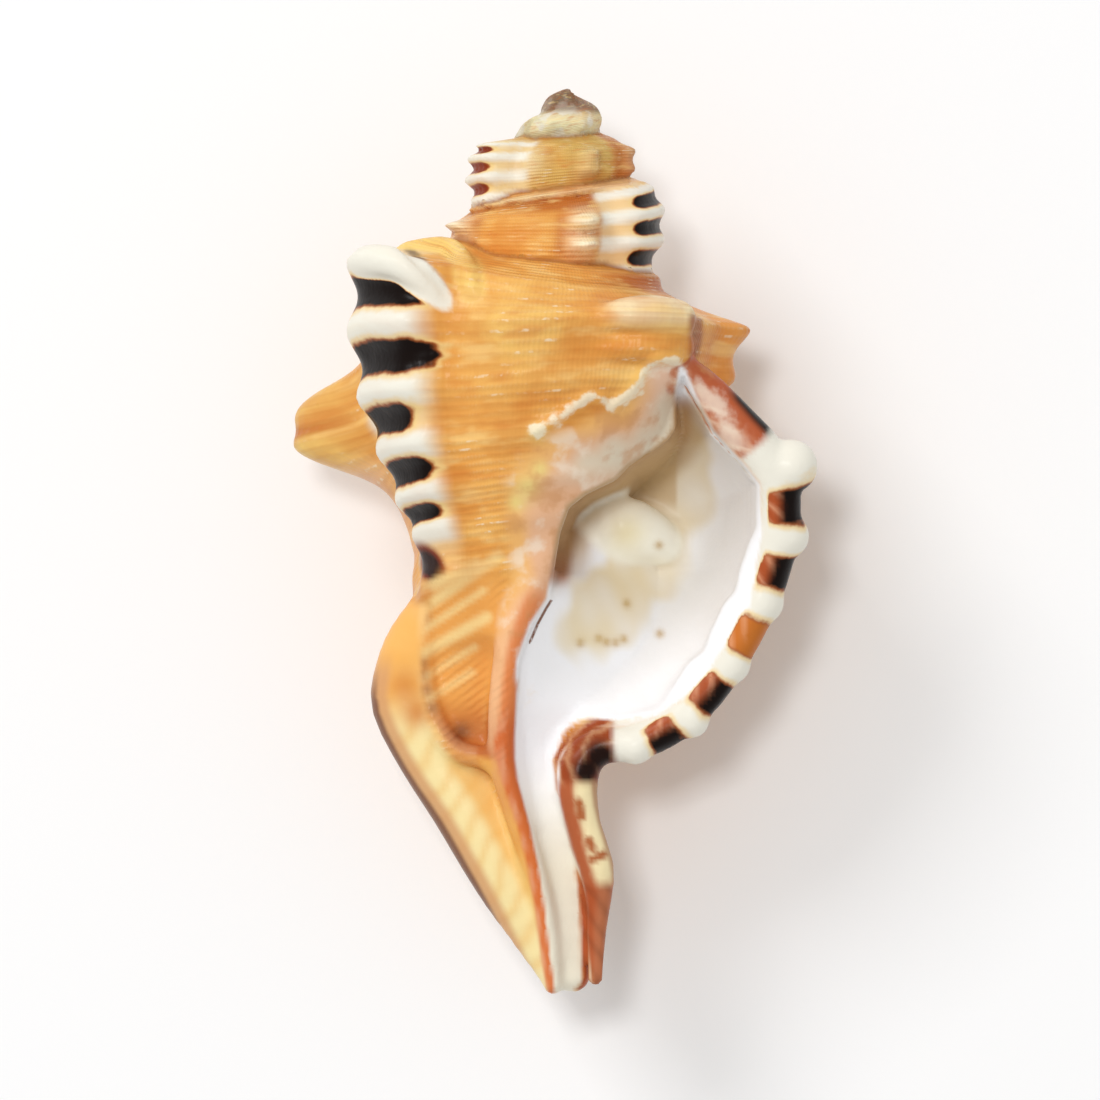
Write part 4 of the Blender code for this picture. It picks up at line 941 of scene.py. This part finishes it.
CIRCLE = 2 * math.pi
THREADS_PER_CORD = 6
GROWTH_LINE_GAP = 1.7
GLAZE_ROUGHNESS = 0.24
GLAZE_SHINE = 0.13
RELIEF = 0.00025
# The studio, in metres and watts: half the floor's side, the sky's strength, and the lamps' name, place, side
# and power. The camera's numbers are in mm; its aim is in the shell's own frame.
FLOOR = 3
SKY = 0.56
LAMPS = (("key", (-1.5, 1.7, 2.2), 1.2, 34), ("front", (-0.10, 0.22, 1.60), 0.22, 7.4))
LAMP_AIM = (0, 0, 0.02)
SENSOR = 36
CAMERA_AWAY = 1500
SEEN_WIDTH = 148.5
CAMERA_AIM = (-0.68, -1.35, 0)


def add_layer(mesh, name, values):
    """One value or one colour at each point, which the material reads by its name."""
    if values.ndim == 1:
        layer = mesh.attributes.new(name, "FLOAT", "POINT")
        layer.data.foreach_set("value", np.ascontiguousarray(values, np.float32))
    else:
        layer = mesh.attributes.new(name, "FLOAT_COLOR", "POINT")
        full = np.column_stack([np.clip(values, 0, 1), np.ones(len(values))]).astype(np.float32)
        layer.data.foreach_set("color", full.ravel())


class Nodes:
    """A short way to write a material's nodes."""

    def __init__(self, tree):
        self.tree = tree

    def make(self, kind, **settings):
        node = self.tree.nodes.new(kind)
        for key, value in settings.items():
            setattr(node, key, value)
        return node

    def put(self, socket, value):
        if hasattr(value, "links"):
            self.tree.links.new(value, socket)
        else:
            socket.default_value = value

    def math(self, kind, *values):
        node = self.make("ShaderNodeMath", operation=kind)
        for socket, value in zip(node.inputs, values):
            self.put(socket, value)
        return node.outputs[0]

    def times(self, value, *factors):
        for factor in factors:
            value = self.math("MULTIPLY", value, factor)
        return value

    def plus(self, value, *others):
        for other in others:
            value = self.math("ADD", value, other)
        return value

    def scaled(self, value, factor, shift):
        return self.math("MULTIPLY_ADD", value, factor, shift)

    def ramp(self, value, low, high):
        node = self.make("ShaderNodeMapRange", interpolation_type="SMOOTHSTEP")
        for name, given in (("Value", value), ("From Min", low), ("From Max", high)):
            self.put(node.inputs[name], given)
        return node.outputs[0]

    def mix(self, share, a, b):
        node = self.make("ShaderNodeMix", data_type="RGBA", clamp_factor=True)
        for index, given in ((0, share), (6, a), (7, b)):
            self.put(node.inputs[index], given)
        return node.outputs[2]

    def read(self, name, output="Fac"):
        return self.make("ShaderNodeAttribute", attribute_name=name).outputs[output]

    def noise(self, scale, detail, coordinates=None):
        node = self.make("ShaderNodeTexNoise")
        coordinates = coordinates or self.make("ShaderNodeTexCoord").outputs["Object"]
        for name, given in (("Vector", coordinates), ("Scale", scale), ("Detail", detail)):
            self.put(node.inputs[name], given)
        return node.outputs["Fac"]


def shell_material():
    material = bpy.data.materials.new("glazed_shell")
    material.use_nodes = True
    principled = material.node_tree.nodes["Principled BSDF"].inputs
    make = Nodes(material.node_tree)
    times, plus, scaled, ramp, read = make.times, make.plus, make.scaled, make.ramp, make.read
    cord, turn, thread, crust, glaze = map(read, ("cord", "turn", "thread", "crust", "glaze"))
    fine, coarse, patch = make.noise(1100, 4), make.noise(420, 3), make.noise(120, 3)
    marble, grain = make.noise(190, 4), make.noise(640, 2)

    # Threads: fine spiral lines crossed by closer growth lines.
    spiral = make.math("SINE", scaled(cord, CIRCLE * THREADS_PER_CORD, times(coarse, 1.6)))
    lines = make.math("SINE", scaled(turn, CIRCLE / GROWTH_LINE_GAP, times(coarse, 6)))
    woven = scaled(spiral, 0.30, times(lines, 0.10))
    woven = times(plus(woven, 0.5), times(thread, scaled(ramp(patch, 0.36, 0.6), 0.6, 0.4)))
    slant = make.math("SINE", scaled(read("slant"), CIRCLE, times(coarse, 3)))
    recess = times(read("recess"), ramp(patch, 0.36, 0.6), 0.62)
    woven = plus(woven, times(scaled(slant, 0.5, 0.5), recess))

    # Dark bars between the varices' cords.
    cosine = make.math("COSINE", times(read("bar_cord"), CIRCLE))
    bar = times(scaled(cosine, -0.5, 0.5), read("ink"))
    bar = plus(bar, scaled(patch, 0.34, -0.17), scaled(coarse, 0.40, -0.20), times(spiral, thread, 0.05))

    # Streaks that follow the cords, painted glints as pale flecks on the threads, and the wandering edge of
    # the glaze's lines.
    along_cords = make.make("ShaderNodeCombineXYZ")
    make.put(along_cords.inputs[0], times(turn, 0.045))
    make.put(along_cords.inputs[1], times(cord, 2.6))
    streak = make.noise(1, 3, along_cords.outputs[0])
    # Painted glints: pale flecks on the crests of the spiral threads, in patches.
    fleck = times(ramp(grain, 0.55, 0.68), ramp(spiral, 0.4, 0.95), thread, ramp(patch, 0.46, 0.58))
    line_gap = plus(read("glaze_line"), scaled(coarse, 3, times(patch, 3.2)), -3.1)

    # Coats over the painted tint: threads, mottling, painted glints, worn crust, the bars' warm edges, glaze,
    # glaze lines partly painted highlight, and crack.
    base = read("tint", "Color")
    for share, tone in (
        (times(ramp(woven, 0.45, 0.95), 0.15), (252, 226, 168)),
        (times(ramp(patch, 0.58, 0.36), thread, 0.32), (196, 108, 36)),
        (times(ramp(streak, 0.50, 0.72), thread, 0.50), (250, 212, 138)),
        (times(ramp(streak, 0.50, 0.28), thread, 0.45), (206, 118, 46)),
        # Painted glints on the threads.
        (times(fleck, 0.5), (255, 244, 216)),
        (times(ramp(spiral, 0.2, 1), thread, 0.10), (176, 92, 30)),
        (times(ramp(coarse, 0.50, 0.64), crust, 0.7), (236, 232, 220)),
        (times(ramp(patch, 0.52, 0.66), crust, 0.38), (120, 100, 62)),
        (times(ramp(bar, 0.10, 0.36), 0.7), (238, 204, 134)),
        (times(ramp(bar, 0.32, 0.50), 0.92), (160, 72, 20)),
        (times(ramp(marble, 0.52, 0.66), glaze, 0.6), (246, 232, 212)),
        (times(ramp(marble, 0.48, 0.34), glaze, 0.55), (206, 146, 92)),
        # Pale along the glaze's raised lines: partly their own colour, partly painted highlight.
        (times(ramp(line_gap, 0.75, 0.10), 0.75), (246, 238, 212)),
        (ramp(read("crack"), 0.28, 0.08), (120, 72, 44)),
    ):
        base = make.mix(share, base, (*colour(*tone), 1))
    make.put(principled["Base Color"], make.mix(ramp(bar, 0.42, 0.62), base, read("dye", "Color")))
    make.put(principled["Roughness"], scaled(patch, 0.12, scaled(crust, 0.35, GLAZE_ROUGHNESS)))
    make.put(principled["Specular IOR Level"], GLAZE_SHINE)

    bump = make.make("ShaderNodeBump")
    make.put(bump.inputs["Strength"], 0.55)
    make.put(bump.inputs["Distance"], RELIEF)
    height = plus(woven, times(fine, 0.22), times(coarse, scaled(crust, 2.5, 0.5)))
    make.put(bump.inputs["Height"], height)
    make.put(principled["Normal"], bump.outputs["Normal"])
    return material


def shell_piece():
    points, faces = largest_piece(*surface(*sampled(GRID_STEP)))
    if volume_of(points, faces) < 0:
        faces = [face[::-1] for face in faces]
    mesh = bpy.data.meshes.new("shell_surface")
    laid = laid_down(points)
    mesh.from_pydata(laid.tolist(), [], faces)
    for name, layer in paint(points).items():
        add_layer(mesh, name, layer)
    mesh.shade_smooth()
    piece = bpy.data.objects.new("shell_surface", mesh)
    bpy.context.scene.collection.objects.link(piece)
    mesh.materials.append(shell_material())
    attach(piece, "root")
    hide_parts("shell")
    return laid[0] - turned(points[0]) * MM


def floor_piece():
    mesh = bpy.data.meshes.new("floor")
    corners = [(-FLOOR, -FLOOR, 0), (FLOOR, -FLOOR, 0), (FLOOR, FLOOR, 0), (-FLOOR, FLOOR, 0)]
    mesh.from_pydata(corners, [], [(0, 1, 2, 3)])
    floor = bpy.data.objects.new("floor", mesh)
    bpy.context.scene.collection.objects.link(floor)
    material = bpy.data.materials.new("floor")
    material.use_nodes = True
    principled = material.node_tree.nodes["Principled BSDF"].inputs
    principled["Base Color"].default_value = (0.93, 0.93, 0.93, 1)
    principled["Roughness"].default_value = 0.9
    principled["Specular IOR Level"].default_value = 0.1
    mesh.materials.append(material)


def lights():
    scene = bpy.context.scene
    world = bpy.data.worlds.new("studio")
    world.use_nodes = True
    background = world.node_tree.nodes["Background"].inputs
    background["Color"].default_value = (1, 1, 1, 1)
    background["Strength"].default_value = SKY
    scene.world = world
    scene.view_settings.view_transform = "Standard"
    for name, place, side, power in LAMPS:
        data = bpy.data.lights.new(name, "AREA")
        data.shape = "RECTANGLE"
        data.size = data.size_y = side
        data.energy = power
        lamp = bpy.data.objects.new(name, data)
        lamp.location = place
        lamp.rotation_euler = (Vector(LAMP_AIM) - Vector(place)).to_track_quat("-Z", "Y").to_euler()
        scene.collection.objects.link(lamp)


def camera(origin):
    """A long lens straight over the mouth, with the apex up in the picture."""
    data = bpy.data.cameras.new("camera")
    data.sensor_width = SENSOR
    data.lens = SENSOR * CAMERA_AWAY / SEEN_WIDTH
    data.clip_end = 10
    view = bpy.data.objects.new("camera", data)
    back, up = turned((0, 0, 1)), turned((0, 1, 0))
    place = origin + turned(CAMERA_AIM) * MM + back * CAMERA_AWAY * MM
    axes = np.column_stack([np.cross(up, back), up, back, place])
    view.matrix_world = Matrix([*axes.tolist(), (0, 0, 0, 1)])
    bpy.context.scene.collection.objects.link(view)
    bpy.context.scene.camera = view


origin = shell_piece()
floor_piece()
lights()
camera(origin)
